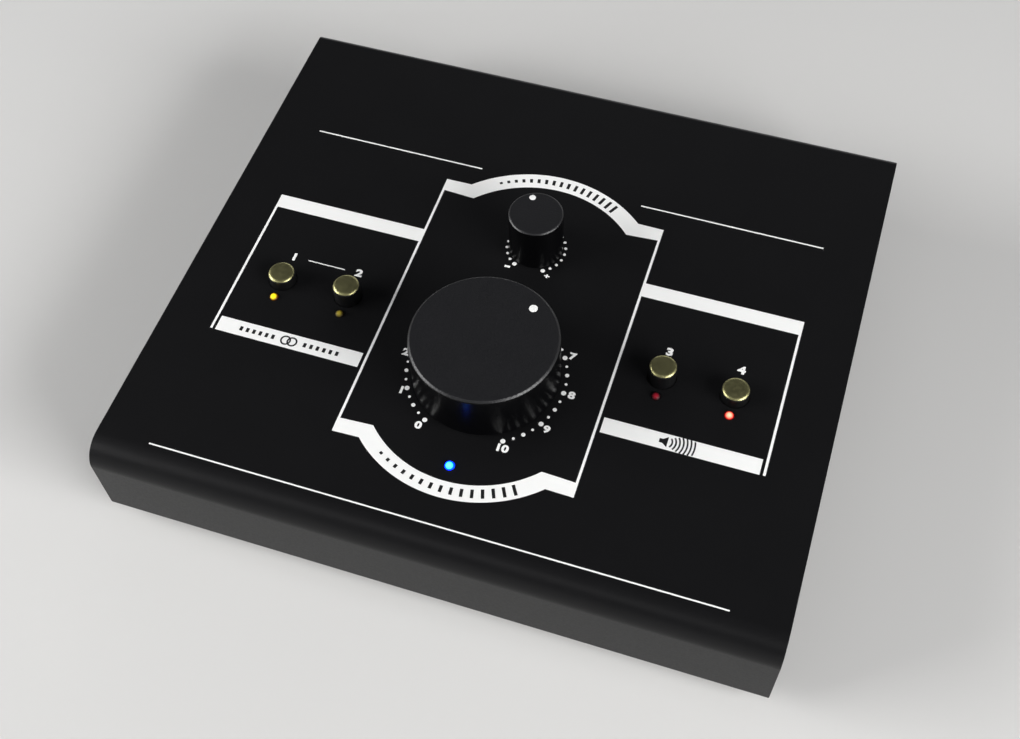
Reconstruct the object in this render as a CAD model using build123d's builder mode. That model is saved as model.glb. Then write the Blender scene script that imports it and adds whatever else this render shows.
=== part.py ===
from build123d import *
import os
from math import asin, cos, degrees, radians, sin, tan

os.makedirs("parts", exist_ok=True)

# Desktop studio monitor controller in a folded steel case.
# Origin: middle of the footprint, on the surface the feet stand on. +Z is up and the
# operator sits on the -Y side, so +Y points to the connectors. Millimetres.

# ----------------------------------------------------------------------------
# Driving sizes
# ----------------------------------------------------------------------------
# Case
case_width = 215.0          # across the top cover
case_depth = 188.5          # front face to back edge of the cover
case_height = 33.4          # underside of the cover to its top face
ground_gap = 4.5            # table to the underside of the cover
cover_sheet = 1.5
tray_sheet = 1.2
panel_sheet = 1.5
front_roll = 8.5            # outside radius of the rolled front edge
fold_radius = 1.0           # inside radius of the tight folds
seam = 0.3                  # gap where one folded sheet passes another
cover_flange = 12.0         # cover's return flange under the tray
rear_lip = 5.0              # cover's lip down over the rear panel
lip_tab_width = 9.0
lip_tab_length = 9.2        # from the cover's top face
lip_tab_corner = 2.0
lip_screw_from_tip = 3.6
cheek_inset = 0.8           # side cheeks stand in from the cover's edge
cheek_flange = 8.0          # cheek's flange under the cover
panel_flange = 12.0         # rear panel's flange on the tray floor
cheek_flange_setback = 2.0  # cheek's flange ends this far behind the roll

# Fasteners
screw_thread = 3.0
screw_head = 5.6
screw_head_height = 1.8
screw_crown = 0.7
screw_hole_play = 0.2       # a screw hole is this much wider than the thread
nut_play = 0.1
case_screw_length = 5.0
board_screw_length = 5.0
base_screw_spacing = 80.0
base_screw_setback = 7.5    # front screws behind the front face
rear_screw_setback = 7.0    # rear screws ahead of the rear panel's face

# Feet
foot_width = 15.0
foot_taper = 1.2            # foot is narrower at the table by this much, each side
foot_inset_x = 21.0         # foot centre to the cover's side edge
foot_inset_y = 27.0         # foot centre to the front face and to the back edge
foot_recess_depth = 3.2
foot_recess_play = 0.8
foot_edge = 0.8
foot_screw_length = 6.0

# Circuit boards
board_sheet = 1.6
main_board_rise = 6.7       # tray floor to main board
main_board_side_gap = 2.5   # cheek to the board's edge
main_board_depth = 112.0
main_board_setback = 1.0    # rear panel to the board's edge
main_notch_width = 23.0     # room for the power switch
main_notch_depth = 24.0
board_corner = 2.0
main_standoff_from_rear = 34.0
control_drop = 11.0         # panel underside to the control board
control_width = 184.0
control_front_margin = 7.0  # board edge ahead of the power lamp
control_rear_margin = 13.0  # board edge behind the headphone knob
standoff_width = 6.0        # across flats
standoff_edge = 6.0         # standoff centre to the board's edge
control_middle_standoff_x = 30.0

# Top panel layout, measured from the front face
volume_from_front = 63.8
headphone_from_front = 115.4
buttons_from_front = 78.6
lamps_from_front = 71.2
power_lamp_from_front = 29.4
button_outer_x = 75.5
button_inner_x = 52.5

# Master knob: turned aluminium cup with a hub
volume_radius = 23.2
volume_top = 19.9           # knob's top face above the panel
volume_clear = 1.0          # knob's rim above the panel
volume_wall = 2.8
volume_roof = 3.2
volume_chamfer = 1.0
volume_hub_radius = 7.5
volume_hub_clear = 9.0      # hub's lower end above the panel
volume_marker_radius = 1.5
volume_marker_from_axis = 18.1
volume_marker_angle = 52.6  # degrees from +X
set_screw_radius = 1.5
set_screw_length = 5.0
set_screw_height = 12.8     # above the panel
set_screw_access = 1.8      # radius of the hole through the knob's wall
volume_rim_edge = 0.4
marker_depth = 0.6

# Small knob: solid, with a pocket for the nut
headphone_radius = 8.94
headphone_top = 18.0
headphone_clear = 0.8
headphone_chamfer = 0.7
headphone_pocket_radius = 6.9
headphone_pocket_height = 4.6
headphone_marker_radius = 1.15
headphone_marker_from_axis = 6.6
headphone_marker_angle = 116.7
headphone_roof = 2.4

# Potentiometers
shaft_radius = 3.0
shaft_flat = 1.5            # depth of the D flat
shaft_top_gap = 0.5         # shaft end to the roof of its bore
shaft_foot = 3.0            # shaft's lower end above the control board
running_gap = 0.06
volume_pot_width = 27.0
volume_bushing_radius = 4.5
volume_bushing_reach = 6.5  # above the panel
volume_nut_width = 12.0     # across flats
volume_nut_height = 2.2
headphone_pot_width = 16.5
headphone_bushing_radius = 3.5
headphone_bushing_reach = 4.0
headphone_nut_width = 10.0
headphone_nut_height = 2.0
washer_sheet = 0.5
washer_rim = 1.2            # washer stands past the nut's flats
bushing_hole_play = 0.15
bushing_chamfer = 0.4
pot_corner = 1.0
shaft_flat_clear = 1.0      # flat starts this far above the bushing

# Push buttons
cap_radius = 4.4
cap_height = 8.0
cap_edge = 1.3              # rounding of the cap's rim
cap_dish = 0.35             # depth of the finger dish
cap_out = 6.6               # cap's top above the panel when the button is out
latch_travel = 2.2          # how far a latched button stays in
cap_hole_play = 0.25
plunger_width = 3.3
plunger_length = 12.6
plunger_play = 0.12
cap_roof = 2.2              # plunger's end to the cap's top
switch_width = 8.5
switch_height = 7.0
switch_collar_width = 5.6
switch_collar_height = 0.8
switch_floor = 0.8
switch_corner = 0.5

# Lamps
lamp_radius = 1.5
lamp_flange_radius = 1.9
lamp_flange = 1.0
lamp_length = 5.3           # flange's underside to the top of the dome
lamp_reach = 1.0            # dome above the panel
lamp_lead = 0.5
lamp_lead_pitch = 2.0
lamp_hole_play = 0.1
lamp_dome = 0.9             # share of the radius that the dome rounds off
spacer_radius = 2.3
spacer_bore = 1.6

# 25-way D connectors on the rear
dsub_width = 38.4
dsub_height = 7.9
dsub_corner = 2.3
dsub_slope = 10.0           # degrees
dsub_skin = 0.5
dsub_reach = 6.0            # shell in front of its flange
dsub_flange_ear = 3.0       # jackscrew axis to the flange's end
dsub_flange_height = 12.4
dsub_flange_sheet = 0.8
dsub_flange_corner = 1.5
dsub_rise = 6.8             # connector axis above the main board
dsub_recess = 0.3           # insulator's face behind the shell's rim
dsub_play = 0.4             # panel cut-out round the shell
insulator_play = 0.05
insulator_block_width = 41.0
insulator_block_depth = 11.0
contact_hole = 0.6          # radius
contact_pitch = 2.76
contact_row_pitch = 2.84
contact_depth = 4.0
contacts_long_row = 13
jackscrew_spacing = 47.04
jackscrew_width = 4.8       # across flats
jackscrew_length = 5.0      # in front of the panel
jackscrew_bore = 1.42       # radius of the threaded hole
jackscrew_stem = 1.5        # radius
jackscrew_grip = 2.0        # stem past the flange

# 6.35 mm sockets
jack_count = 3
jack_width = 15.0
jack_rise = 7.3             # socket axis above the main board
jack_depth = 28.0
jack_bore = 3.3             # radius
jack_bore_end = 2.0         # wall behind the bore
jack_bushing_radius = 4.75
jack_bushing_reach = 3.4    # in front of the rear panel
jack_nut_width = 13.0
jack_nut_height = 2.2
jack_hole_play = 0.15
jack_corner = 0.6

# Power inlet and power switch
inlet_width = 9.0
inlet_height = 11.0
inlet_depth = 14.0
inlet_rise = 6.4
inlet_nose_radius = 4.0
inlet_nose_reach = 1.0
inlet_bore = 3.0
inlet_bore_depth = 9.5
inlet_pin_radius = 1.0
inlet_pin_recess = 0.5      # pin's end behind the nose
rocker_rise = 14.6          # rocker's middle above the tray floor
rocker_radius = 7.5
rocker_height = 9.6
rocker_axis_depth = 0.5     # rocker axis in front of the rear panel
rocker_back = 3.0           # flat back of the rocker behind its axis
rocker_dip = 1.0            # middle of the rocker's face in front of its axis
rocker_slope = 8.0          # degrees that each half of the face leans
rocker_gap = 0.3
trunnion_radius = 1.2
trunnion_length = 1.2
bezel_width = 21.0
bezel_height = 15.0
bezel_reach = 2.0
bezel_corner = 1.5
bezel_chamfer = 0.5
power_body_width = 18.8
power_body_height = 12.6
power_body_depth = 16.0
power_body_play = 0.15

# Parts on the main board
relay_count = 6
relay_size = (7.5, 15.0, 10.0)
relay_pitch = 15.0
relay_chamfer = 0.4
capacitor_count = 4
capacitor_radius = 4.0
capacitor_height = 11.5
capacitor_edge = 0.5
capacitor_pitch = 14.0
chip_size = (7.5, 10.0, 2.4)
chip_columns = 4
chip_pitch = 30.0
chip_row_pitch = 16.0
chip_from_front = 26.0
link_length = 25.4
link_width = 5.0
link_header_height = 2.5
link_x = 70.0
link_behind_buttons = 30.0

# ----------------------------------------------------------------------------
# Levels and places worked out from the sizes above
# ----------------------------------------------------------------------------
rear_reach = jackscrew_length - cover_sheet
front_y = -(case_depth + rear_reach) / 2
back_y = front_y + case_depth
panel_face = back_y - cover_sheet
panel_inner = panel_face - panel_sheet

top_z = ground_gap + case_height
under_top_z = top_z - cover_sheet
floor_z = ground_gap + cover_sheet
floor_top_z = floor_z + tray_sheet
main_z = floor_top_z + main_board_rise
main_top_z = main_z + board_sheet
control_top_z = under_top_z - control_drop
control_z = control_top_z - board_sheet

cheek_x = case_width / 2 - cheek_inset
screw_hole = screw_thread / 2 + screw_hole_play / 2

volume_y = front_y + volume_from_front
headphone_y = front_y + headphone_from_front
button_y = front_y + buttons_from_front
lamp_y = front_y + lamps_from_front
power_lamp_y = front_y + power_lamp_from_front
button_xs = (-button_outer_x, -button_inner_x, button_inner_x, button_outer_x)
button_latched = (True, False, False, True)
lamp_places = [(x, lamp_y) for x in button_xs] + [(0, power_lamp_y)]

main_board_width = 2 * (cheek_x - tray_sheet - main_board_side_gap)
main_rear_y = panel_inner - main_board_setback
main_front_y = main_rear_y - main_board_depth
control_front_y = power_lamp_y - control_front_margin
control_rear_y = headphone_y + control_rear_margin

# Relays and capacitors share the free depth from the control board to the D connectors.
dsub_block_y = panel_inner - dsub_flange_sheet - insulator_block_depth
parts_gap = (dsub_block_y - control_rear_y - relay_size[1] - 2 * capacitor_radius) / 3
relay_y = control_rear_y + parts_gap + relay_size[1] / 2
capacitor_y = dsub_block_y - parts_gap - capacitor_radius

dsub_z = main_top_z + dsub_rise
jack_z = main_top_z + jack_rise

# The rear connectors stand in a row and share the free width between the cheeks evenly.
dsub_flange_width = jackscrew_spacing + 2 * dsub_flange_ear
rear_row = [jack_width] * jack_count + [dsub_flange_width] * 2 + [inlet_width, bezel_width]
rear_width = 2 * (cheek_x - tray_sheet - fold_radius)
rear_gap = (rear_width - sum(rear_row)) / (len(rear_row) + 1)
rear_xs = [
    -rear_width / 2 + rear_gap * (place + 1) + sum(rear_row[:place]) + width / 2
    for place, width in enumerate(rear_row)
]
jack_xs = rear_xs[:jack_count]
dsub_xs = rear_xs[jack_count : jack_count + 2]
inlet_x = rear_xs[-2]
rocker_x = rear_xs[-1]
inlet_z = main_top_z + inlet_rise
rocker_y = panel_face + rocker_axis_depth
rocker_z = floor_top_z + rocker_rise

# The lip's screw tabs hang over the D connectors' outer ends and between the two.
tab_xs = (dsub_xs[0] - dsub_width / 2, (dsub_xs[0] + dsub_xs[1]) / 2, dsub_xs[1] + dsub_width / 2)
lip_screw_z = top_z - lip_tab_length + lip_screw_from_tip

base_screw_places = [
    (x, y)
    for x in (-base_screw_spacing, 0, base_screw_spacing)
    for y in (front_y + base_screw_setback, panel_face - rear_screw_setback)
]
foot_x = case_width / 2 - foot_inset_x
foot_places = [(x, y) for x in (-foot_x, foot_x) for y in (front_y + foot_inset_y, back_y - foot_inset_y)]
main_standoff_x = main_board_width / 2 - standoff_edge
main_standoff_places = [
    (x, y)
    for x in (-main_standoff_x, 0, main_standoff_x)
    for y in (main_front_y + standoff_edge, main_rear_y - main_standoff_from_rear)
]
control_standoff_x = control_width / 2 - standoff_edge
control_standoff_places = [
    (x, y)
    for x in (-control_standoff_x, control_standoff_x)
    for y in (control_front_y + standoff_edge, control_rear_y - standoff_edge)
] + [(-control_middle_standoff_x, volume_y), (control_middle_standoff_x, volume_y)]


# ----------------------------------------------------------------------------
# Planes and shapes used by more than one piece
# ----------------------------------------------------------------------------
def level(z):
    """Horizontal sketch plane at height z."""
    return Plane.XY.offset(z)


def upright(y):
    """Sketch plane across the case at depth y, with X and Z as its axes."""
    return Plane.XZ.offset(-y)


def pan_screw(length):
    """Pan-head screw: its bearing face at the origin, its shank up +Z, its head below."""
    with BuildPart() as screw:
        with BuildSketch(Plane.XZ):
            with BuildLine():
                Polyline(
                    (0, -screw_head_height),
                    (0, length),
                    (screw_thread / 2, length),
                    (screw_thread / 2, 0),
                    (screw_head / 2, 0),
                    (screw_head / 2, screw_crown - screw_head_height),
                    (screw_head / 2 - screw_crown, -screw_head_height),
                    close=True,
                )
            make_face()
        revolve(axis=Axis.Z)
    return screw.part


def hex_nut(width, height, bore):
    """Plain hexagon nut on the XY plane, flats square to X."""
    with BuildPart() as nut:
        with BuildSketch():
            RegularPolygon(width / 2, 6, major_radius=False)
            Circle(bore, mode=Mode.SUBTRACT)
        extrude(amount=height)
    return nut.part


def round_washer(outer, bore):
    with BuildPart() as washer:
        with BuildSketch():
            Circle(outer)
            Circle(bore, mode=Mode.SUBTRACT)
        extrude(amount=washer_sheet)
    return washer.part


def d_shape(grow):
    """Outline of a D connector's shell, wide side up, grown all round by grow."""
    slant = dsub_height * tan(radians(dsub_slope))
    upper = dsub_width / 2
    lower = upper - slant
    with BuildSketch() as outline:
        with BuildLine():
            Polyline(
                (-upper, dsub_height / 2),
                (upper, dsub_height / 2),
                (lower, -dsub_height / 2),
                (-lower, -dsub_height / 2),
                close=True,
            )
        make_face()
        fillet(outline.vertices(), dsub_corner)
        if grow != 0:
            offset(amount=grow)
    return outline.sketch


def d_section(radius, flat):
    """Circle with one side cut flat, the flat towards +X."""
    with BuildSketch() as section:
        Circle(radius)
        with Locations((flat + radius, 0)):
            Rectangle(2 * radius, 2 * radius, mode=Mode.SUBTRACT)
    return section.sketch


# ----------------------------------------------------------------------------
# Case: cover, tray, rear panel, feet and their screws
# ----------------------------------------------------------------------------
# The cover is one folded sheet: flange under the tray, front, rolled edge, top, rear lip.
with BuildPart() as top_cover:
    with BuildSketch(Plane.YZ):
        with BuildLine():
            FilletPolyline(
                (front_y + cover_flange, ground_gap),
                (front_y, ground_gap),
                (front_y, top_z),
                (back_y, top_z),
                (back_y, top_z - rear_lip),
                radius=(fold_radius + cover_sheet, front_roll, fold_radius + cover_sheet),
            )
            offset(amount=cover_sheet, side=Side.RIGHT)
        make_face()
    extrude(amount=case_width / 2, both=True)
    with BuildSketch(upright(back_y)) as tabs:
        for x in tab_xs:
            with Locations((x, top_z - (rear_lip + lip_tab_length) / 2)):
                Rectangle(lip_tab_width, lip_tab_length - rear_lip)
        fillet(tabs.vertices().group_by(Axis.Y)[0], lip_tab_corner)
    extrude(amount=cover_sheet)
    with BuildSketch(upright(back_y)):
        with Locations(*[(x, lip_screw_z) for x in tab_xs]):
            Circle(screw_hole)
    extrude(amount=cover_sheet, mode=Mode.SUBTRACT)
    with BuildSketch(level(top_z)):
        with Locations((0, volume_y)):
            Circle(volume_bushing_radius + bushing_hole_play)
        with Locations((0, headphone_y)):
            Circle(headphone_bushing_radius + bushing_hole_play)
        with Locations(*[(x, button_y) for x in button_xs]):
            Circle(cap_radius + cap_hole_play)
        with Locations(*lamp_places):
            Circle(lamp_radius + lamp_hole_play)
    extrude(amount=-cover_sheet, mode=Mode.SUBTRACT)
    with BuildSketch(level(ground_gap)):
        for x, y in base_screw_places:
            if y < 0:
                with Locations((x, y)):
                    Circle(screw_hole)
    extrude(amount=cover_sheet, mode=Mode.SUBTRACT)
top_cover.part.label = "top_cover"
export_step(top_cover.part, "parts/top_cover.step")

# The tray is folded from thinner sheet. Its side cheeks follow the cover's rolled edge.
with BuildPart() as base_tray:
    with BuildSketch(upright(panel_face)):
        with BuildLine():
            FilletPolyline(
                (cheek_x - cheek_flange, under_top_z),
                (cheek_x, under_top_z),
                (cheek_x, floor_z),
                (-cheek_x, floor_z),
                (-cheek_x, under_top_z),
                (cheek_flange - cheek_x, under_top_z),
                radius=fold_radius + tray_sheet,
            )
            offset(amount=tray_sheet, side=Side.RIGHT)
        make_face()
    extrude(amount=panel_face - front_y)
    with BuildSketch(Plane.YZ) as envelope:
        cheek_front = front_y + cover_sheet + seam
        with Locations(((cheek_front + panel_face) / 2, (floor_z + under_top_z) / 2)):
            Rectangle(panel_face - cheek_front, under_top_z - floor_z)
        fillet(envelope.vertices().group_by(Axis.X)[0].sort_by(Axis.Y)[-1], front_roll - cover_sheet - seam)
        fillet(envelope.vertices().group_by(Axis.X)[0].sort_by(Axis.Y)[0], fold_radius)
        fillet(envelope.vertices().group_by(Axis.X)[-1].sort_by(Axis.Y)[-1], fold_radius + seam)
    extrude(amount=case_width / 2, both=True, mode=Mode.INTERSECT)
    with BuildSketch(level(under_top_z)):
        with Locations((0, front_y + (front_roll + cheek_flange_setback) / 2)):
            Rectangle(2 * (cheek_x - tray_sheet), front_roll + cheek_flange_setback)
        with Locations((0, panel_face - (panel_sheet + seam) / 2)):
            Rectangle(2 * (cheek_x - tray_sheet), panel_sheet + seam)
    extrude(amount=-(fold_radius + tray_sheet), mode=Mode.SUBTRACT)
    with BuildSketch(level(floor_z)):
        with Locations(*base_screw_places, *foot_places):
            Circle(screw_hole)
    extrude(amount=tray_sheet, mode=Mode.SUBTRACT)
base_tray.part.label = "base_tray"
export_step(base_tray.part, "parts/base_tray.step")

# The rear panel is an upright plate with a flange that lies on the tray's floor.
with BuildPart() as rear_panel:
    with BuildSketch(Plane.YZ):
        with BuildLine():
            FilletPolyline(
                (panel_face - panel_flange, floor_top_z),
                (panel_face, floor_top_z),
                (panel_face, under_top_z - fold_radius - seam),
                radius=fold_radius + panel_sheet,
            )
            offset(amount=panel_sheet, side=Side.LEFT)
        make_face()
    extrude(amount=cheek_x - tray_sheet - fold_radius, both=True)
    with BuildSketch(upright(panel_face)):
        for x in dsub_xs:
            with Locations((x, dsub_z)):
                add(d_shape(dsub_play))
                with GridLocations(jackscrew_spacing, 0, 2, 1):
                    Circle(jackscrew_stem + screw_hole_play / 2)
        with Locations(*[(x, jack_z) for x in jack_xs]):
            Circle(jack_bushing_radius + jack_hole_play)
        with Locations((inlet_x, inlet_z)):
            Circle(inlet_nose_radius + jack_hole_play)
        with Locations((rocker_x, rocker_z)):
            Rectangle(power_body_width + 2 * power_body_play, power_body_height + 2 * power_body_play)
        with Locations(*[(x, lip_screw_z) for x in tab_xs]):
            Circle(screw_hole)
    extrude(amount=panel_sheet, mode=Mode.SUBTRACT)
    with BuildSketch(level(floor_top_z)):
        for x, y in base_screw_places:
            if y > 0:
                with Locations((x, y)):
                    Circle(screw_hole)
    extrude(amount=panel_sheet, mode=Mode.SUBTRACT)
rear_panel.part.label = "rear_panel"
export_step(rear_panel.part, "parts/rear_panel.step")

# Tapered rubber foot with a recess that hides its screw's head.
with BuildPart() as foot:
    with BuildSketch(Plane.XZ) as foot_section:
        outer = foot_width / 2
        with BuildLine():
            Polyline(
                (screw_thread / 2 + screw_hole_play, floor_z),
                (outer, floor_z),
                (outer - foot_taper, 0),
                (screw_head / 2 + foot_recess_play, 0),
                (screw_head / 2 + foot_recess_play, foot_recess_depth),
                (screw_thread / 2 + screw_hole_play, foot_recess_depth),
                close=True,
            )
        make_face()
        chamfer(foot_section.vertices().sort_by_distance((outer - foot_taper, 0))[0], foot_edge)
    revolve(axis=Axis.Z)
with BuildPart() as rubber_feet:
    with Locations(*foot_places):
        add(foot.part)
rubber_feet.part.label = "rubber_feet"
export_step(rubber_feet.part, "parts/rubber_feet.step")

with BuildPart() as foot_screws:
    with Locations(*[(x, y, foot_recess_depth) for x, y in foot_places]):
        add(pan_screw(foot_screw_length))
foot_screws.part.label = "foot_screws"
export_step(foot_screws.part, "parts/foot_screws.step")

# Front screws bear on the cover's flange, rear ones on the tray's floor.
with BuildPart() as base_screws:
    for x, y in base_screw_places:
        with Locations((x, y, ground_gap if y < 0 else floor_z)):
            add(pan_screw(case_screw_length))
base_screws.part.label = "base_screws"
export_step(base_screws.part, "parts/base_screws.step")

with BuildPart() as rear_screws:
    with Locations(*[(x, back_y, lip_screw_z) for x in tab_xs]):
        add(pan_screw(case_screw_length), rotation=(90, 0, 0))
rear_screws.part.label = "rear_screws"
export_step(rear_screws.part, "parts/rear_screws.step")

# ----------------------------------------------------------------------------
# Circuit boards, their standoffs and what is soldered to them
# ----------------------------------------------------------------------------
# The main board lies over the tray's floor, cut away at one corner for the power switch.
with BuildPart() as main_board:
    with BuildSketch(level(main_z)) as board_outline:
        with Locations((0, (main_front_y + main_rear_y) / 2)):
            Rectangle(main_board_width, main_board_depth)
        with Locations((main_board_width / 2, main_rear_y)):
            Rectangle(2 * main_notch_width, 2 * main_notch_depth, mode=Mode.SUBTRACT)
        fillet(board_outline.vertices(), board_corner)
        with Locations(*main_standoff_places):
            Circle(screw_hole, mode=Mode.SUBTRACT)
    extrude(amount=board_sheet)
main_board.part.label = "main_board"
export_step(main_board.part, "parts/main_board.step")

with BuildPart() as board_standoffs:
    with BuildSketch(level(floor_top_z)):
        with Locations(*main_standoff_places):
            RegularPolygon(standoff_width / 2, 6, major_radius=False)
            Circle(screw_thread / 2, mode=Mode.SUBTRACT)
    extrude(amount=main_board_rise)
board_standoffs.part.label = "board_standoffs"
export_step(board_standoffs.part, "parts/board_standoffs.step")

with BuildPart() as board_screws:
    with Locations(*[(x, y, main_top_z) for x, y in main_standoff_places]):
        add(pan_screw(board_screw_length), rotation=(180, 0, 0))
board_screws.part.label = "board_screws"
export_step(board_screws.part, "parts/board_screws.step")

# The control board hangs under the top and carries the pots, switches and lamps.
with BuildPart() as control_board:
    with BuildSketch(level(control_z)) as control_outline:
        with Locations((0, (control_front_y + control_rear_y) / 2)):
            Rectangle(control_width, control_rear_y - control_front_y)
        fillet(control_outline.vertices(), board_corner)
        with Locations(*control_standoff_places):
            Circle(screw_hole, mode=Mode.SUBTRACT)
    extrude(amount=board_sheet)
control_board.part.label = "control_board"
export_step(control_board.part, "parts/control_board.step")

with BuildPart() as control_standoffs:
    with BuildSketch(level(control_top_z)):
        with Locations(*control_standoff_places):
            RegularPolygon(standoff_width / 2, 6, major_radius=False)
            Circle(screw_thread / 2, mode=Mode.SUBTRACT)
    extrude(amount=control_drop)
control_standoffs.part.label = "control_standoffs"
export_step(control_standoffs.part, "parts/control_standoffs.step")

with BuildPart() as control_screws:
    with Locations(*[(x, y, control_z) for x, y in control_standoff_places]):
        add(pan_screw(board_screw_length))
control_screws.part.label = "control_screws"
export_step(control_screws.part, "parts/control_screws.step")

# A pin header on the main board plugs into a socket strip under the control board.
link_y = button_y + link_behind_buttons
with BuildPart() as link_header:
    with BuildSketch(level(main_top_z)):
        with Locations((link_x, link_y)):
            Rectangle(link_length, link_width)
    extrude(amount=link_header_height)
link_header.part.label = "link_header"
export_step(link_header.part, "parts/link_header.step")

with BuildPart() as link_socket:
    with BuildSketch(level(main_top_z + link_header_height)):
        with Locations((link_x, link_y)):
            Rectangle(link_length, link_width)
    extrude(amount=control_z - main_top_z - link_header_height)
link_socket.part.label = "link_socket"
export_step(link_socket.part, "parts/link_socket.step")

with BuildPart() as relays:
    with BuildSketch(level(main_top_z)):
        with Locations((0, relay_y)):
            with GridLocations(relay_pitch, 0, relay_count, 1):
                Rectangle(relay_size[0], relay_size[1])
    extrude(amount=relay_size[2])
    chamfer(relays.edges().group_by(Axis.Z)[-1], relay_chamfer)
relays.part.label = "relays"
export_step(relays.part, "parts/relays.step")

with BuildPart() as capacitors:
    with BuildSketch(level(main_top_z)):
        with Locations((0, capacitor_y)):
            with GridLocations(capacitor_pitch, 0, capacitor_count, 1):
                Circle(capacitor_radius)
    extrude(amount=capacitor_height)
    chamfer(capacitors.edges().group_by(Axis.Z)[-1], capacitor_edge)
capacitors.part.label = "capacitors"
export_step(capacitors.part, "parts/capacitors.step")

with BuildPart() as amplifier_chips:
    with BuildSketch(level(main_top_z)):
        with Locations((0, main_front_y + chip_from_front)):
            with GridLocations(chip_pitch, chip_row_pitch, chip_columns, 2):
                Rectangle(chip_size[0], chip_size[1])
    extrude(amount=chip_size[2])
amplifier_chips.part.label = "amplifier_chips"
export_step(amplifier_chips.part, "parts/amplifier_chips.step")


# ----------------------------------------------------------------------------
# Rotary controls
# ----------------------------------------------------------------------------
def pot_body(width, bushing_radius, bushing_reach, y):
    """Square pot on the control board, its bushing up through the panel, bored for the shaft."""
    with BuildPart() as pot:
        with BuildSketch(level(control_top_z)) as base:
            with Locations((0, y)):
                RectangleRounded(width, width, pot_corner)
        extrude(amount=control_drop)
        with BuildSketch(level(under_top_z)):
            with Locations((0, y)):
                Circle(bushing_radius)
        extrude(amount=cover_sheet + bushing_reach)
        chamfer(pot.edges().group_by(Axis.Z)[-1], bushing_chamfer)
        with BuildSketch(level(control_top_z + shaft_foot - running_gap)):
            with Locations((0, y)):
                Circle(shaft_radius + running_gap)
        extrude(amount=case_height, mode=Mode.SUBTRACT)
    return pot.part


def pot_shaft(bushing_reach, bore_roof, angle, y):
    """Shaft with a D flat above the bushing, the flat facing the marker's angle."""
    flat_start = top_z + bushing_reach + shaft_flat_clear
    with BuildPart() as shaft:
        with BuildSketch(level(control_top_z + shaft_foot)):
            with Locations((0, y)):
                Circle(shaft_radius)
        extrude(amount=flat_start - control_top_z - shaft_foot)
        with BuildSketch(level(flat_start)):
            with Locations(Location((0, y), angle)):
                add(d_section(shaft_radius, shaft_flat))
        extrude(amount=bore_roof - shaft_top_gap - flat_start)
    return shaft.part


def from_axis(y, distance, angle):
    """Point at a distance and angle from a control's axis."""
    return (distance * cos(radians(angle)), y + distance * sin(radians(angle)))


volume_top_z = top_z + volume_top
volume_roof_z = volume_top_z - volume_roof
volume_dot = from_axis(volume_y, volume_marker_from_axis, volume_marker_angle)
headphone_top_z = top_z + headphone_top
headphone_roof_z = headphone_top_z - headphone_roof
headphone_dot = from_axis(headphone_y, headphone_marker_from_axis, headphone_marker_angle)

# Turned knob: a cup with a hub inside it, bored in a D for the shaft.
with BuildPart() as volume_knob:
    with BuildSketch(level(top_z + volume_clear)):
        with Locations((0, volume_y)):
            Circle(volume_radius)
    extrude(amount=volume_top - volume_clear)
    chamfer(volume_knob.edges().group_by(Axis.Z)[-1], volume_chamfer)
    chamfer(volume_knob.edges().group_by(Axis.Z)[0], volume_rim_edge)
    with BuildSketch(level(volume_roof_z)):
        with Locations((0, volume_y)):
            Circle(volume_radius - volume_wall)
            Circle(volume_hub_radius, mode=Mode.SUBTRACT)
    extrude(amount=-(volume_top - volume_roof), mode=Mode.SUBTRACT)
    with BuildSketch(level(top_z)):
        with Locations((0, volume_y)):
            Circle(volume_hub_radius)
    extrude(amount=volume_hub_clear, mode=Mode.SUBTRACT)
    with BuildSketch(level(top_z)):
        with Locations(Location((0, volume_y), volume_marker_angle)):
            add(d_section(shaft_radius + running_gap, shaft_flat + running_gap))
    extrude(amount=volume_roof_z - top_z, mode=Mode.SUBTRACT)
    with BuildSketch(level(volume_top_z)):
        with Locations(volume_dot):
            Circle(volume_marker_radius)
    extrude(amount=-marker_depth, mode=Mode.SUBTRACT)
    screw_line = Plane(
        origin=(0, volume_y, top_z + set_screw_height),
        z_dir=(cos(radians(volume_marker_angle)), sin(radians(volume_marker_angle)), 0),
    )
    with BuildSketch(screw_line):
        Circle(set_screw_radius)
    extrude(amount=volume_hub_radius, mode=Mode.SUBTRACT)
    with BuildSketch(screw_line.offset(volume_hub_radius)):
        Circle(set_screw_access)
    extrude(amount=volume_radius, mode=Mode.SUBTRACT)
volume_knob.part.label = "volume_knob"
export_step(volume_knob.part, "parts/volume_knob.step")

with BuildPart() as volume_marker:
    with BuildSketch(level(volume_top_z)):
        with Locations(volume_dot):
            Circle(volume_marker_radius)
    extrude(amount=-marker_depth)
volume_marker.part.label = "volume_marker"
export_step(volume_marker.part, "parts/volume_marker.step")

with BuildPart() as volume_set_screw:
    with BuildSketch(screw_line.offset(shaft_flat)):
        Circle(set_screw_radius)
    extrude(amount=set_screw_length)
volume_set_screw.part.label = "volume_set_screw"
export_step(volume_set_screw.part, "parts/volume_set_screw.step")

volume_shaft = pot_shaft(volume_bushing_reach, volume_roof_z, volume_marker_angle, volume_y)
volume_shaft.label = "volume_shaft"
export_step(volume_shaft, "parts/volume_shaft.step")

volume_pot = pot_body(volume_pot_width, volume_bushing_radius, volume_bushing_reach, volume_y)
volume_pot.label = "volume_pot"
export_step(volume_pot, "parts/volume_pot.step")

volume_nut_bore = volume_bushing_radius + nut_play
with BuildPart() as volume_pot_nut:
    with Locations((0, volume_y, top_z)):
        add(round_washer(volume_nut_width / 2 + washer_rim, volume_nut_bore))
    with Locations((0, volume_y, top_z + washer_sheet)):
        add(hex_nut(volume_nut_width, volume_nut_height, volume_nut_bore))
volume_pot_nut.part.label = "volume_pot_nut"
export_step(volume_pot_nut.part, "parts/volume_pot_nut.step")

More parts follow.
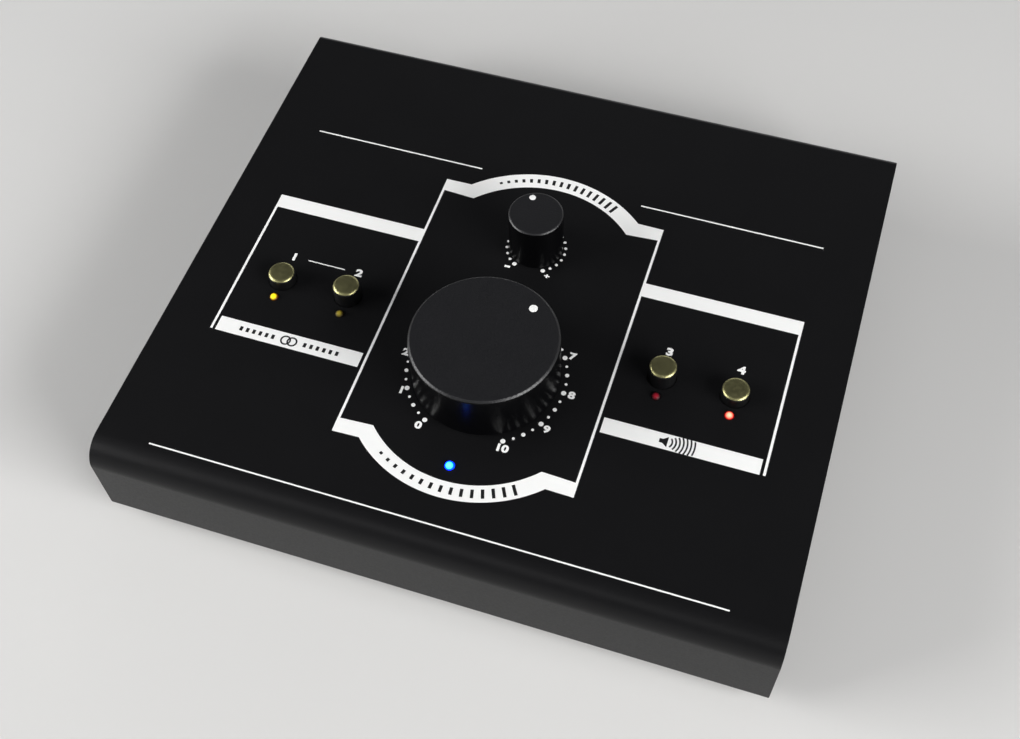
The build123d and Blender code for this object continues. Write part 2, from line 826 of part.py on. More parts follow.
# The small knob is pushed on its shaft and has a pocket that hides the nut.
with BuildPart() as headphone_knob:
    with BuildSketch(level(top_z + headphone_clear)):
        with Locations((0, headphone_y)):
            Circle(headphone_radius)
    extrude(amount=headphone_top - headphone_clear)
    chamfer(headphone_knob.edges().group_by(Axis.Z)[-1], headphone_chamfer)
    with BuildSketch(level(top_z)):
        with Locations((0, headphone_y)):
            Circle(headphone_pocket_radius)
    extrude(amount=headphone_pocket_height, mode=Mode.SUBTRACT)
    with BuildSketch(level(top_z)):
        with Locations(Location((0, headphone_y), headphone_marker_angle)):
            add(d_section(shaft_radius + running_gap, shaft_flat + running_gap))
    extrude(amount=headphone_roof_z - top_z, mode=Mode.SUBTRACT)
    with BuildSketch(level(headphone_top_z)):
        with Locations(headphone_dot):
            Circle(headphone_marker_radius)
    extrude(amount=-marker_depth, mode=Mode.SUBTRACT)
headphone_knob.part.label = "headphone_knob"
export_step(headphone_knob.part, "parts/headphone_knob.step")

with BuildPart() as headphone_marker:
    with BuildSketch(level(headphone_top_z)):
        with Locations(headphone_dot):
            Circle(headphone_marker_radius)
    extrude(amount=-marker_depth)
headphone_marker.part.label = "headphone_marker"
export_step(headphone_marker.part, "parts/headphone_marker.step")

headphone_shaft = pot_shaft(headphone_bushing_reach, headphone_roof_z, headphone_marker_angle, headphone_y)
headphone_shaft.label = "headphone_shaft"
export_step(headphone_shaft, "parts/headphone_shaft.step")

headphone_pot = pot_body(
    headphone_pot_width, headphone_bushing_radius, headphone_bushing_reach, headphone_y
)
headphone_pot.label = "headphone_pot"
export_step(headphone_pot, "parts/headphone_pot.step")

headphone_nut_bore = headphone_bushing_radius + nut_play
with BuildPart() as headphone_pot_nut:
    with Locations((0, headphone_y, top_z)):
        add(round_washer(headphone_nut_width / 2 + washer_rim, headphone_nut_bore))
    with Locations((0, headphone_y, top_z + washer_sheet)):
        add(hex_nut(headphone_nut_width, headphone_nut_height, headphone_nut_bore))
headphone_pot_nut.part.label = "headphone_pot_nut"
export_step(headphone_pot_nut.part, "parts/headphone_pot_nut.step")

# ----------------------------------------------------------------------------
# Push buttons: latching switch, square plunger, dished cap. 1 and 4 are latched in.
# ----------------------------------------------------------------------------
for number, (button_x, latched) in enumerate(zip(button_xs, button_latched), start=1):
    cap_top_z = top_z + cap_out - (latch_travel if latched else 0)
    plunger_top_z = cap_top_z - cap_roof

    with BuildPart() as cap:
        with BuildSketch(Plane(origin=(button_x, button_y, cap_top_z), x_dir=(1, 0, 0), z_dir=(0, -1, 0))):
            with BuildLine():
                dish_rim = (cap_radius - cap_edge, 0)
                Polyline((0, -cap_dish), (0, -cap_height), (cap_radius, -cap_height))
                Line((cap_radius, -cap_height), (cap_radius, -cap_edge))
                RadiusArc((cap_radius, -cap_edge), dish_rim, -cap_edge)
                dish_radius = (dish_rim[0] ** 2 + cap_dish**2) / (2 * cap_dish)
                RadiusArc(dish_rim, (0, -cap_dish), dish_radius)
            make_face()
        revolve(axis=Axis((button_x, button_y, 0), (0, 0, 1)))
        with BuildSketch(level(plunger_top_z)):
            with Locations((button_x, button_y)):
                Rectangle(plunger_width + 2 * running_gap, plunger_width + 2 * running_gap)
        extrude(amount=-cap_height, mode=Mode.SUBTRACT)
    cap.part.label = f"button_cap_{number}"
    export_step(cap.part, f"parts/button_cap_{number}.step")

    with BuildPart() as plunger:
        with BuildSketch(level(plunger_top_z)):
            with Locations((button_x, button_y)):
                Rectangle(plunger_width, plunger_width)
        extrude(amount=-plunger_length)
    plunger.part.label = f"button_plunger_{number}"
    export_step(plunger.part, f"parts/button_plunger_{number}.step")

    with BuildPart() as housing:
        with BuildSketch(level(control_top_z)):
            with Locations((button_x, button_y)):
                RectangleRounded(switch_width, switch_width, switch_corner)
        extrude(amount=switch_height)
        with BuildSketch(level(control_top_z + switch_height)):
            with Locations((button_x, button_y)):
                Rectangle(switch_collar_width, switch_collar_width)
        extrude(amount=switch_collar_height)
        with BuildSketch(level(control_top_z + switch_floor)):
            with Locations((button_x, button_y)):
                Rectangle(plunger_width + 2 * plunger_play, plunger_width + 2 * plunger_play)
        extrude(amount=case_height, mode=Mode.SUBTRACT)
    housing.part.label = f"switch_housing_{number}"
    export_step(housing.part, f"parts/switch_housing_{number}.step")

# ----------------------------------------------------------------------------
# Indicator lamps, each on two leads inside a spacer tube
# ----------------------------------------------------------------------------
lamp_flange_z = top_z + lamp_reach - lamp_length
for number, (lamp_x, lamp_at_y) in enumerate(lamp_places, start=1):
    lamp_name = f"led_{number}" if number <= len(button_xs) else "power_led"
    with BuildPart() as lamp:
        with BuildSketch(level(lamp_flange_z)):
            with Locations((lamp_x, lamp_at_y)):
                Circle(lamp_flange_radius)
        extrude(amount=lamp_flange)
        with BuildSketch(level(lamp_flange_z + lamp_flange)):
            with Locations((lamp_x, lamp_at_y)):
                Circle(lamp_radius)
        extrude(amount=lamp_length - lamp_flange)
        fillet(lamp.edges().group_by(Axis.Z)[-1], lamp_radius * lamp_dome)
        with BuildSketch(level(lamp_flange_z)):
            with Locations((lamp_x, lamp_at_y)):
                with GridLocations(lamp_lead_pitch, 0, 2, 1):
                    Rectangle(lamp_lead, lamp_lead)
        extrude(amount=control_top_z - lamp_flange_z)
    lamp.part.label = lamp_name
    export_step(lamp.part, f"parts/{lamp_name}.step")

with BuildPart() as led_spacers:
    with BuildSketch(level(control_top_z)):
        with Locations(*lamp_places):
            Circle(spacer_radius)
            Circle(spacer_bore, mode=Mode.SUBTRACT)
    extrude(amount=lamp_flange_z - control_top_z)
led_spacers.part.label = "led_spacers"
export_step(led_spacers.part, "parts/led_spacers.step")

# ----------------------------------------------------------------------------
# Rear connectors
# ----------------------------------------------------------------------------
for number, dsub_x in enumerate(dsub_xs, start=1):
    # Pressed steel shell: a flange behind the panel and a D-shaped skirt through it.
    with BuildPart() as shell:
        with BuildSketch(upright(panel_inner)):
            with Locations((dsub_x, dsub_z)):
                RectangleRounded(dsub_flange_width, dsub_flange_height, dsub_flange_corner)
                with GridLocations(jackscrew_spacing, 0, 2, 1):
                    Circle(jackscrew_stem + nut_play, mode=Mode.SUBTRACT)
        extrude(amount=dsub_flange_sheet)
        with BuildSketch(upright(panel_inner + dsub_reach)):
            with Locations((dsub_x, dsub_z)):
                add(d_shape(0))
        extrude(amount=dsub_reach)
        with BuildSketch(upright(panel_inner + dsub_reach)):
            with Locations((dsub_x, dsub_z)):
                add(d_shape(-dsub_skin))
        extrude(amount=dsub_reach + dsub_flange_sheet, mode=Mode.SUBTRACT)
    shell.part.label = f"dsub_shell_{number}"
    export_step(shell.part, f"parts/dsub_shell_{number}.step")

    # Moulded insulator: D-shaped nose with two rows of contact holes, block on the board.
    with BuildPart() as insulator:
        with BuildSketch(upright(panel_inner + dsub_reach - dsub_recess)) as nose:
            with Locations((dsub_x, dsub_z)):
                add(d_shape(-dsub_skin - insulator_play))
        extrude(amount=dsub_reach - dsub_recess + dsub_flange_sheet)
        block_top_z = dsub_z + dsub_height / 2 + dsub_skin
        with BuildSketch(upright(panel_inner - dsub_flange_sheet)):
            with Locations((dsub_x, (main_top_z + block_top_z) / 2)):
                Rectangle(insulator_block_width, block_top_z - main_top_z)
        extrude(amount=insulator_block_depth)
        with BuildSketch(upright(panel_inner + dsub_reach - dsub_recess)):
            with Locations((dsub_x, dsub_z + contact_row_pitch / 2)):
                with GridLocations(contact_pitch, 0, contacts_long_row, 1):
                    Circle(contact_hole)
            with Locations((dsub_x, dsub_z - contact_row_pitch / 2)):
                with GridLocations(contact_pitch, 0, contacts_long_row - 1, 1):
                    Circle(contact_hole)
        extrude(amount=contact_depth, mode=Mode.SUBTRACT)
    insulator.part.label = f"dsub_insulator_{number}"
    export_step(insulator.part, f"parts/dsub_insulator_{number}.step")

# Hexagon jackscrews clamp the connectors and take the plug's own screws.
with BuildPart() as dsub_jackscrews:
    jackscrew_places = [
        (x + side * jackscrew_spacing / 2, dsub_z) for x in dsub_xs for side in (-1, 1)
    ]
    with BuildSketch(upright(panel_face + jackscrew_length)):
        with Locations(*jackscrew_places):
            RegularPolygon(jackscrew_width / 2, 6, major_radius=False)
            Circle(jackscrew_bore, mode=Mode.SUBTRACT)
    extrude(amount=jackscrew_length)
    with BuildSketch(upright(panel_face)):
        with Locations(*jackscrew_places):
            Circle(jackscrew_stem)
    extrude(amount=panel_sheet + dsub_flange_sheet + jackscrew_grip)
dsub_jackscrews.part.label = "dsub_jackscrews"
export_step(dsub_jackscrews.part, "parts/dsub_jackscrews.step")

for number, jack_x in enumerate(jack_xs, start=1):
    with BuildPart() as jack:
        with BuildSketch(upright(panel_inner)):
            with Locations((jack_x, jack_z)):
                RectangleRounded(jack_width, 2 * jack_rise, jack_corner)
        extrude(amount=jack_depth)
        with BuildSketch(upright(panel_face + jack_bushing_reach)):
            with Locations((jack_x, jack_z)):
                Circle(jack_bushing_radius)
        extrude(amount=jack_bushing_reach + panel_sheet)
        chamfer(jack.edges().group_by(Axis.Y)[-1], bushing_chamfer)
        with BuildSketch(upright(panel_face + jack_bushing_reach)):
            with Locations((jack_x, jack_z)):
                Circle(jack_bore)
        extrude(
            amount=jack_bushing_reach + panel_sheet + jack_depth - jack_bore_end, mode=Mode.SUBTRACT
        )
    jack.part.label = f"jack_{number}"
    export_step(jack.part, f"parts/jack_{number}.step")

with BuildPart() as jack_nuts:
    with BuildSketch(upright(panel_face + jack_nut_height)):
        with Locations(*[(x, jack_z) for x in jack_xs]):
            RegularPolygon(jack_nut_width / 2, 6, major_radius=False)
            Circle(jack_bushing_radius + nut_play, mode=Mode.SUBTRACT)
    extrude(amount=jack_nut_height)
jack_nuts.part.label = "jack_nuts"
export_step(jack_nuts.part, "parts/jack_nuts.step")

with BuildPart() as dc_inlet:
    with BuildSketch(upright(panel_inner)):
        with Locations((inlet_x, main_top_z + inlet_height / 2)):
            RectangleRounded(inlet_width, inlet_height, jack_corner)
    extrude(amount=inlet_depth)
    with BuildSketch(upright(panel_face + inlet_nose_reach)):
        with Locations((inlet_x, inlet_z)):
            Circle(inlet_nose_radius)
    extrude(amount=inlet_nose_reach + panel_sheet)
    with BuildSketch(upright(panel_face + inlet_nose_reach)):
        with Locations((inlet_x, inlet_z)):
            Circle(inlet_bore)
    extrude(amount=inlet_bore_depth, mode=Mode.SUBTRACT)
dc_inlet.part.label = "dc_inlet"
export_step(dc_inlet.part, "parts/dc_inlet.step")

with BuildPart() as dc_pin:
    with BuildSketch(upright(panel_face + inlet_nose_reach - inlet_bore_depth)):
        with Locations((inlet_x, inlet_z)):
            Circle(inlet_pin_radius)
    extrude(amount=-(inlet_bore_depth - inlet_pin_recess))
dc_pin.part.label = "dc_pin"
export_step(dc_pin.part, "parts/dc_pin.step")

# Power switch: a snap-in body with a bezel, and a rocker on two trunnions.
rocker_corner_angle = degrees(asin(rocker_back / rocker_radius))
cavity_back = rocker_radius * sin(radians(rocker_corner_angle + rocker_slope)) + rocker_gap
with BuildPart() as power_switch_body:
    with BuildSketch(upright(panel_face + bezel_reach)):
        with Locations((rocker_x, rocker_z)):
            RectangleRounded(bezel_width, bezel_height, bezel_corner)
    extrude(amount=bezel_reach)
    chamfer(power_switch_body.edges().group_by(Axis.Y)[-1], bezel_chamfer)
    with BuildSketch(upright(panel_face)):
        with Locations((rocker_x, rocker_z)):
            Rectangle(power_body_width, power_body_height)
    extrude(amount=power_body_depth)
    with BuildSketch(upright(panel_face + bezel_reach)):
        with Locations((rocker_x, rocker_z)):
            Rectangle(2 * (rocker_radius + rocker_gap), rocker_height + 2 * rocker_gap)
    extrude(amount=bezel_reach - rocker_axis_depth + cavity_back, mode=Mode.SUBTRACT)
    with BuildSketch(level(rocker_z)):
        with Locations((rocker_x, rocker_y)):
            Circle(trunnion_radius + running_gap)
    extrude(amount=rocker_height / 2 + trunnion_length + rocker_gap, both=True, mode=Mode.SUBTRACT)
power_switch_body.part.label = "power_switch_body"
export_step(power_switch_body.part, "parts/power_switch_body.step")

with BuildPart() as power_rocker:
    with BuildSketch(level(rocker_z)) as rocker_section:
        with Locations(Location((rocker_x, rocker_y), rocker_slope)):
            Circle(rocker_radius)
            Polygon(
                (-rocker_radius, -rocker_radius),
                (rocker_radius, -rocker_radius),
                (rocker_radius, -rocker_back),
                (-rocker_radius, -rocker_back),
                align=None,
                mode=Mode.SUBTRACT,
            )
            face_rise = rocker_dip + rocker_radius * tan(radians(rocker_slope))
            Polygon(
                (0, rocker_dip),
                (rocker_radius, face_rise),
                (rocker_radius, 2 * rocker_radius),
                (-rocker_radius, 2 * rocker_radius),
                (-rocker_radius, face_rise),
                align=None,
                mode=Mode.SUBTRACT,
            )
    extrude(amount=rocker_height / 2, both=True)
    with BuildSketch(level(rocker_z)):
        with Locations((rocker_x, rocker_y)):
            Circle(trunnion_radius)
    extrude(amount=rocker_height / 2 + trunnion_length, both=True)
power_rocker.part.label = "power_rocker"
export_step(power_rocker.part, "parts/power_rocker.step")
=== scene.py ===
import math

import bmesh
import bpy
from mathutils import Matrix, Vector


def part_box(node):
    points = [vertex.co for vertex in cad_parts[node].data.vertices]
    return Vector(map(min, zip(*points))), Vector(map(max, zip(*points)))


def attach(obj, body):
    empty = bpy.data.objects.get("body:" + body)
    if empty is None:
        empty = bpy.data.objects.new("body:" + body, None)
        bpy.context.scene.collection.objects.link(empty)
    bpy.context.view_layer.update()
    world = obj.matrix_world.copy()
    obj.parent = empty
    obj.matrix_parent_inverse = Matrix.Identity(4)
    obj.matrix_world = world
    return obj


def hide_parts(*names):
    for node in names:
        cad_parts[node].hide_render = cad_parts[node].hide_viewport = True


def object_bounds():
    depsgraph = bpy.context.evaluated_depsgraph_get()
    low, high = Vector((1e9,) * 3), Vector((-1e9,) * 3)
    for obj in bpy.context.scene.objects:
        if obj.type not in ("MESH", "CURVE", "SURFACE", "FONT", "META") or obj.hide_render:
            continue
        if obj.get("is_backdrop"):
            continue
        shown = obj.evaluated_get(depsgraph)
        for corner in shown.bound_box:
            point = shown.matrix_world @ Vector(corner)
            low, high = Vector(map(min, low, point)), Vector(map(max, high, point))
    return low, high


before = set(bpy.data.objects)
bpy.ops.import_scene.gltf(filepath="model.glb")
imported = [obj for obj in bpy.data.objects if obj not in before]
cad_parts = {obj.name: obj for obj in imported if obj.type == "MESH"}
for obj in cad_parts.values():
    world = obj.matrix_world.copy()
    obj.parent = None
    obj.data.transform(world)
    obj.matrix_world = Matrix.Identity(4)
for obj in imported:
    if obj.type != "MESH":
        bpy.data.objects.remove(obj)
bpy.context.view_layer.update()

# Desktop studio monitor controller. Metres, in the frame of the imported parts: +Z is up, the
# operator sits on the -Y side and the connectors face +Y.
MM = 0.001
scene = bpy.context.scene


# ----------------------------------------------------------------------------
# View from above the front right corner, with a moderate lens and a slight roll.
# ----------------------------------------------------------------------------
def placed(name, data):
    """Object of a name around its data, at the origin of the scene."""
    made = bpy.data.objects.new(name, data)
    scene.collection.objects.link(made)
    return made


cover_low, cover_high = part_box("top_cover")
front_y = cover_low.y
back_y = cover_high.y
top_z = cover_high.z

camera_from_corner = Vector((84.96, -144.96, 349.87)) * MM  # from the top's middle at the front face
camera_right = Vector((0.94999311, 0.31135082, -0.02395305))
camera_up = Vector((-0.24928575, 0.8023419, 0.54231364))
camera_data = bpy.data.cameras.new("camera")
camera_data.sensor_width = 36.0
camera_data.lens = 47.0755
camera = placed("camera", camera_data)
turn = Matrix((camera_right, camera_up, camera_right.cross(camera_up))).transposed()
camera.matrix_world = Matrix.Translation(Vector((0, front_y, top_z)) + camera_from_corner) @ turn.to_4x4()
scene.camera = camera


# ----------------------------------------------------------------------------
# Table and studio light: a matt white table top, a softbox each side for the edges of the
# knobs, weak ones behind and in front, and a room that is pale near the table and dim overhead.
# ----------------------------------------------------------------------------
def linear(code):
    """Linear colour, with alpha, of an sRGB hex code."""
    shares = [int(code[i : i + 2], 16) / 255 for i in (1, 3, 5)]
    return [s / 12.92 if s <= 0.04045 else ((s + 0.055) / 1.055) ** 2.4 for s in shares] + [1.0]


def add_node(tree, kind, values=None, links=None, **settings):
    """Node with its settings, its sockets' values and the outputs that feed its inputs."""
    made = tree.nodes.new(kind)
    for name, value in settings.items():
        setattr(made, name, value)
    for socket, value in (values or {}).items():
        made.inputs[socket].default_value = value
    for socket, source in (links or {}).items():
        tree.links.new(source, made.inputs[socket])
    return made


def maths(tree, operation, *terms):
    """Output of a math node on a mix of sockets and numbers."""
    made = add_node(tree, "ShaderNodeMath", operation=operation)
    for socket, term in zip(made.inputs, terms):
        if isinstance(term, bpy.types.NodeSocket):
            tree.links.new(term, socket)
        else:
            socket.default_value = term
    return made.outputs[0]


def colour_mix(tree, first, second, share):
    """Output that goes from one sRGB hex code to another with a share."""
    mix = add_node(
        tree, "ShaderNodeMix", {6: linear(first), 7: linear(second)}, {0: share}, data_type="RGBA"
    )
    return mix.outputs[2]


def new_material(name):
    """Empty material with its node tree and its output node."""
    made = bpy.data.materials.new(name)
    made.use_nodes = True
    made.node_tree.nodes.clear()
    return made, made.node_tree, made.node_tree.nodes.new("ShaderNodeOutputMaterial")


def object_from(bm, name, material, smooth_angle=None):
    """Object at the origin from a bmesh; faces that meet at less than smooth_angle are smoothed."""
    bmesh.ops.recalc_face_normals(bm, faces=bm.faces)
    mesh = bpy.data.meshes.new(name)
    if smooth_angle is not None:
        for face in bm.faces:
            face.smooth = True
        for edge in bm.edges:
            edge.smooth = edge.is_manifold and edge.calc_face_angle(0) < math.radians(smooth_angle)
    bm.to_mesh(mesh)
    bm.free()
    mesh.materials.append(material)
    return placed(name, mesh)


table_material, tree, out = new_material("table_white_laminate")
place = add_node(tree, "ShaderNodeTexCoord").outputs["Object"]
mottle = add_node(tree, "ShaderNodeTexNoise", {"Scale": 6.0, "Detail": 3.0}, {"Vector": place})
tint = colour_mix(tree, "#d2d1cf", "#d7d6d4", mottle.outputs[0])
surface = add_node(tree, "ShaderNodeBsdfPrincipled", {"Roughness": 0.7}, {"Base Color": tint})
# Past the softboxes' reach the lens, metal and glass see a table that stays as pale as here.
from_middle = add_node(tree, "ShaderNodeVectorMath", links={0: place}, operation="LENGTH").outputs["Value"]
far = add_node(tree, "ShaderNodeMapRange", {"From Min": 0.18, "From Max": 0.42}, {0: from_middle})
ray = add_node(tree, "ShaderNodeLightPath").outputs
seen = maths(tree, "MAXIMUM", ray["Is Camera Ray"], ray["Is Glossy Ray"])
seen = maths(tree, "MAXIMUM", seen, ray["Is Transmission Ray"])
share = maths(tree, "MULTIPLY", far.outputs[0], seen)
plain = add_node(tree, "ShaderNodeEmission", {"Color": linear("#cdcdcc")})
both = add_node(tree, "ShaderNodeMixShader", links={0: share, 1: surface.outputs[0], 2: plain.outputs[0]})
tree.links.new(both.outputs[0], out.inputs[0])
table_radius = 6.0
table_below_feet = 0.2 * MM
bm = bmesh.new()
bmesh.ops.create_circle(bm, cap_ends=True, segments=96, radius=table_radius)
bmesh.ops.translate(bm, verts=bm.verts, vec=(0, 0, -table_below_feet))
object_from(bm, "table_top", table_material)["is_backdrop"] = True

softboxes = (
    # place in metres, width, height, power in watts
    ("softbox_left", (-1.12, -0.42, 0.54), 1.00, 0.50, 18.0),
    ("softbox_right", (1.12, -0.46, 0.62), 1.00, 0.50, 22.5),
    ("softbox_behind", (-0.10, 1.40, 0.30), 1.20, 0.30, 2.5),
    ("softbox_front", (-0.22, -0.95, 1.15), 0.90, 0.40, 1.3),
)
for name, where, width, height, power in softboxes:
    lamp = bpy.data.lights.new(name, "AREA")
    lamp.shape = "RECTANGLE"
    lamp.size = width
    lamp.size_y = height
    lamp.energy = power
    softbox = placed(name, lamp)
    softbox.location = where
    softbox.rotation_euler = (-Vector(where)).to_track_quat("-Z", "Y").to_euler()
    softbox.visible_camera = False

world = bpy.data.worlds.new("studio_room")
scene.world = world
world.use_nodes = True
tree = world.node_tree
tree.nodes.clear()
direction = add_node(tree, "ShaderNodeTexCoord").outputs["Generated"]
rise = add_node(tree, "ShaderNodeSeparateXYZ", links={0: direction}).outputs["Z"]
room = add_node(tree, "ShaderNodeValToRGB", links={0: rise})
room_tones = (
    (0.0, "#d6d6d5"), (0.1, "#c4c4c4"), (0.22, "#303134"),
    (0.6, "#3b3c40"), (0.85, "#4e4f53"), (1.0, "#56575b"),
)
while len(room.color_ramp.elements) < len(room_tones):
    room.color_ramp.elements.new(0.5)
for stop, (position, tone) in zip(room.color_ramp.elements, room_tones):
    stop.position = position
    stop.color = linear(tone)
background = add_node(tree, "ShaderNodeBackground", {"Strength": 1.0}, {"Color": room.outputs[0]})
backdrop = add_node(tree, "ShaderNodeBackground", {"Color": linear("#d6d6d5"), "Strength": 1.0})
ray = add_node(tree, "ShaderNodeLightPath").outputs
both = add_node(
    tree, "ShaderNodeMixShader",
    links={0: ray["Is Camera Ray"], 1: background.outputs[0], 2: backdrop.outputs[0]},
)
out = add_node(tree, "ShaderNodeOutputWorld", links={0: both.outputs[0]})
scene.view_settings.view_transform = "Standard"


# ----------------------------------------------------------------------------
# Case: a folded steel cover with a rolled front edge, over a folded tray and a rear panel.
# All three are punched, folded and coated with a fine-textured black polyester powder.
# ----------------------------------------------------------------------------
def finish(name, colours, roughness, metallic=0.0, grain=0.4, depth=0.0, patch=14.0, settings=None):
    """Finish that varies: two colours in patches, roughness a range, grain of a size in mm.

    grain and patch are the widths in mm of the bump's bumps and of the colour's patches, and
    depth is the bump's height in mm.
    """
    made, tree, out = new_material(name)
    place = add_node(tree, "ShaderNodeTexCoord").outputs["Object"]
    patches, grains = (
        add_node(
            tree, "ShaderNodeTexNoise", {"Scale": 1 / (width * MM), "Detail": detail}, {"Vector": place}
        ).outputs[0]
        for width, detail in ((patch, 4.0), (grain, 2.0))
    )
    blend = maths(tree, "MULTIPLY_ADD", grains, 0.5, maths(tree, "MULTIPLY", patches, 0.5))
    gloss = add_node(
        tree, "ShaderNodeMapRange",
        {"From Min": 0.3, "From Max": 0.7, "To Min": roughness[0], "To Max": roughness[1]}, {0: grains},
    )
    links = {"Base Color": colour_mix(tree, *colours, blend), "Roughness": gloss.outputs[0]}
    if depth > 0:
        bump = add_node(tree, "ShaderNodeBump", {"Distance": depth * MM}, {"Height": grains})
        links["Normal"] = bump.outputs[0]
    values = {"Metallic": metallic} | (settings or {})
    surface = add_node(tree, "ShaderNodeBsdfPrincipled", values, links)
    tree.links.new(surface.outputs[0], out.inputs[0])
    return made


def coat(material, *names):
    """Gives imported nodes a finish."""
    for name in names:
        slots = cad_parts[name].data.materials
        if len(slots):
            for i in range(len(slots)):
                slots[i] = material
        else:
            slots.append(material)


# Powder coat: matt black with a very fine orange peel, so edges show soft grey highlights.
powder_coat = finish(
    "powder_coated_steel", ("#0f0f10", "#151516"), (0.32, 0.4), grain=0.55, depth=0.02,
    settings={"Specular IOR Level": 0.18},
)

cover_sheet = 1.5 * MM
front_roll = 8.5 * MM
fold_outer = 2.5 * MM
cover_flange = 12.0 * MM
rear_lip = 5.0 * MM
cover_low_z = cover_low.z
edge_break = 0.25 * MM
case_half = cover_high.x
roll_steps = 20


def arc_points(centre, radius, start, end, steps):
    """Points on an arc in a plane, from one angle to another in degrees."""
    angles = [math.radians(start + (end - start) * i / steps) for i in range(steps + 1)]
    return [(centre[0] + radius * math.cos(a), centre[1] + radius * math.sin(a)) for a in angles]


def cover_outline(inset):
    """Side view of the folded sheet's face, inset from its outside, from flange to lip."""
    line = [(front_y + cover_flange, cover_low_z + inset)]
    line += arc_points((front_y + fold_outer, cover_low_z + fold_outer), fold_outer - inset, 270, 180, 8)
    line += arc_points((front_y + front_roll, top_z - front_roll), front_roll - inset, 180, 90, roll_steps)
    line += arc_points((back_y - fold_outer, top_z - fold_outer), fold_outer - inset, 90, 0, 8)
    line.append((back_y - inset, top_z - rear_lip))
    return line


outline = cover_outline(0) + cover_outline(cover_sheet)[::-1]
bm = bmesh.new()
sides = []
for x in (-case_half, case_half):
    ring = [bm.verts.new((x, y, z)) for y, z in outline]
    sides.append(ring)
for i in range(len(outline)):
    j = (i + 1) % len(outline)
    bm.faces.new((sides[0][i], sides[0][j], sides[1][j], sides[1][i]))
count = len(outline) // 2
for ring in sides:
    for i in range(count - 1):
        bm.faces.new((ring[i], ring[i + 1], ring[2 * count - 2 - i], ring[2 * count - 1 - i]))
cover = object_from(bm, "cover_sheet", powder_coat, 25)


def freeze(piece, smooth_angle=None):
    """Turns a piece with modifiers into a plain mesh, smoothed where faces meet gently."""
    for stage in range(1 if smooth_angle is None else 2):
        depsgraph = bpy.context.evaluated_depsgraph_get()
        mesh = bpy.data.meshes.new_from_object(piece.evaluated_get(depsgraph))
        mesh.name = piece.name
        piece.modifiers.clear()
        piece.data = mesh
        if smooth_angle is not None and stage == 0:
            mesh.shade_smooth()
            mesh.set_sharp_from_angle(angle=math.radians(smooth_angle))
            weighted = piece.modifiers.new("even_normals", "WEIGHTED_NORMAL")
            weighted.weight = 100
            weighted.keep_sharp = True
    return piece


def boolean(piece, bm, operation):
    """Adds bm's solids to a piece, or cuts them from it."""
    tool = object_from(bm, "tool", piece.data.materials[0])
    modifier = piece.modifiers.new(operation.lower(), "BOOLEAN")
    modifier.object = tool
    modifier.operation = operation
    modifier.solver = "EXACT"
    freeze(piece)
    bpy.data.objects.remove(tool)


def add_cylinder(bm, centre, radius, length, axis="Z", segments=48):
    """Adds a closed cylinder around a centre, along Z or Y."""
    turned = Matrix.Rotation(math.pi / 2, 4, "X") if axis == "Y" else Matrix.Identity(4)
    bmesh.ops.create_cone(
        bm, cap_ends=True, segments=segments, radius1=radius, radius2=radius, depth=length,
        matrix=Matrix.Translation(centre) @ turned,
    )


def add_prism(bm, outline, offset, direction):
    """Adds a closed prism: an outline of points, moved by offset, and its copy along direction."""
    near = [bm.verts.new(Vector(p) + Vector(offset)) for p in outline]
    far = [bm.verts.new(v.co + Vector(direction)) for v in near]
    bm.faces.new(near)
    bm.faces.new(far[::-1])
    for i in range(len(near)):
        j = (i + 1) % len(near)
        bm.faces.new((near[i], far[i], far[j], near[j]))


def middle(node):
    """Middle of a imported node's box."""
    low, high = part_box(node)
    return (low + high) / 2


bevel = cover.modifiers.new("edge_break", "BEVEL")
bevel.width = edge_break
bevel.segments = 2
bevel.limit_method = "ANGLE"
bevel.angle_limit = math.radians(60)
freeze(cover)

# Three tabs on the rear lip take the cover's screws, over the two D connectors' outer ends.
dsub_width = 38.4 * MM
tab_xs = (
    middle("dsub_shell_1").x - dsub_width / 2,
    (middle("dsub_shell_1").x + middle("dsub_shell_2").x) / 2,
    middle("dsub_shell_2").x + dsub_width / 2,
)
tab_half = 4.5 * MM
tab_low = top_z - 9.2 * MM
tab_length = 6.0 * MM
tab_corner = 2.0 * MM
tab_edge = 0.04 * MM  # keeps the tabs' faces off the lip's own
lip_screw_z = tab_low + 3.6 * MM
screw_hole = 1.6 * MM
bm = bmesh.new()
for x in tab_xs:
    tab = [(x + tab_half, tab_low + tab_length), (x - tab_half, tab_low + tab_length)]
    tab += arc_points((x - tab_half + tab_corner, tab_low + tab_corner), tab_corner, 180, 270, 6)
    tab += arc_points((x + tab_half - tab_corner, tab_low + tab_corner), tab_corner, 270, 360, 6)
    tab = [(px, back_y - tab_edge, pz) for px, pz in tab]
    add_prism(bm, tab, (0, 0, 0), (0, 2 * tab_edge - cover_sheet, 0))
boolean(cover, bm, "UNION")

base_screw_xs = (-80 * MM, 0, 80 * MM)
base_screw_front_y = front_y + 7.5 * MM
base_screw_rear_y = back_y - (1.5 + 7.0) * MM
lamp_names = ("led_1", "led_2", "led_3", "led_4", "power_led")
volume_hole = 4.65 * MM
level_hole = 3.65 * MM
button_hole = 4.65 * MM
lamp_hole = 1.6 * MM
punch = 8.0 * MM
bm = bmesh.new()
add_cylinder(bm, (0, middle("volume_pot").y, top_z), volume_hole, punch)
add_cylinder(bm, (0, middle("headphone_pot").y, top_z), level_hole, punch)
for i in (1, 2, 3, 4):
    at = middle(f"button_cap_{i}")
    add_cylinder(bm, (at.x, at.y, top_z), button_hole, punch)
for name in lamp_names:
    at = middle(name)
    add_cylinder(bm, (at.x, at.y, top_z), lamp_hole, punch, segments=32)
for x in tab_xs:
    add_cylinder(bm, (x, back_y, lip_screw_z), screw_hole, punch, "Y", 32)
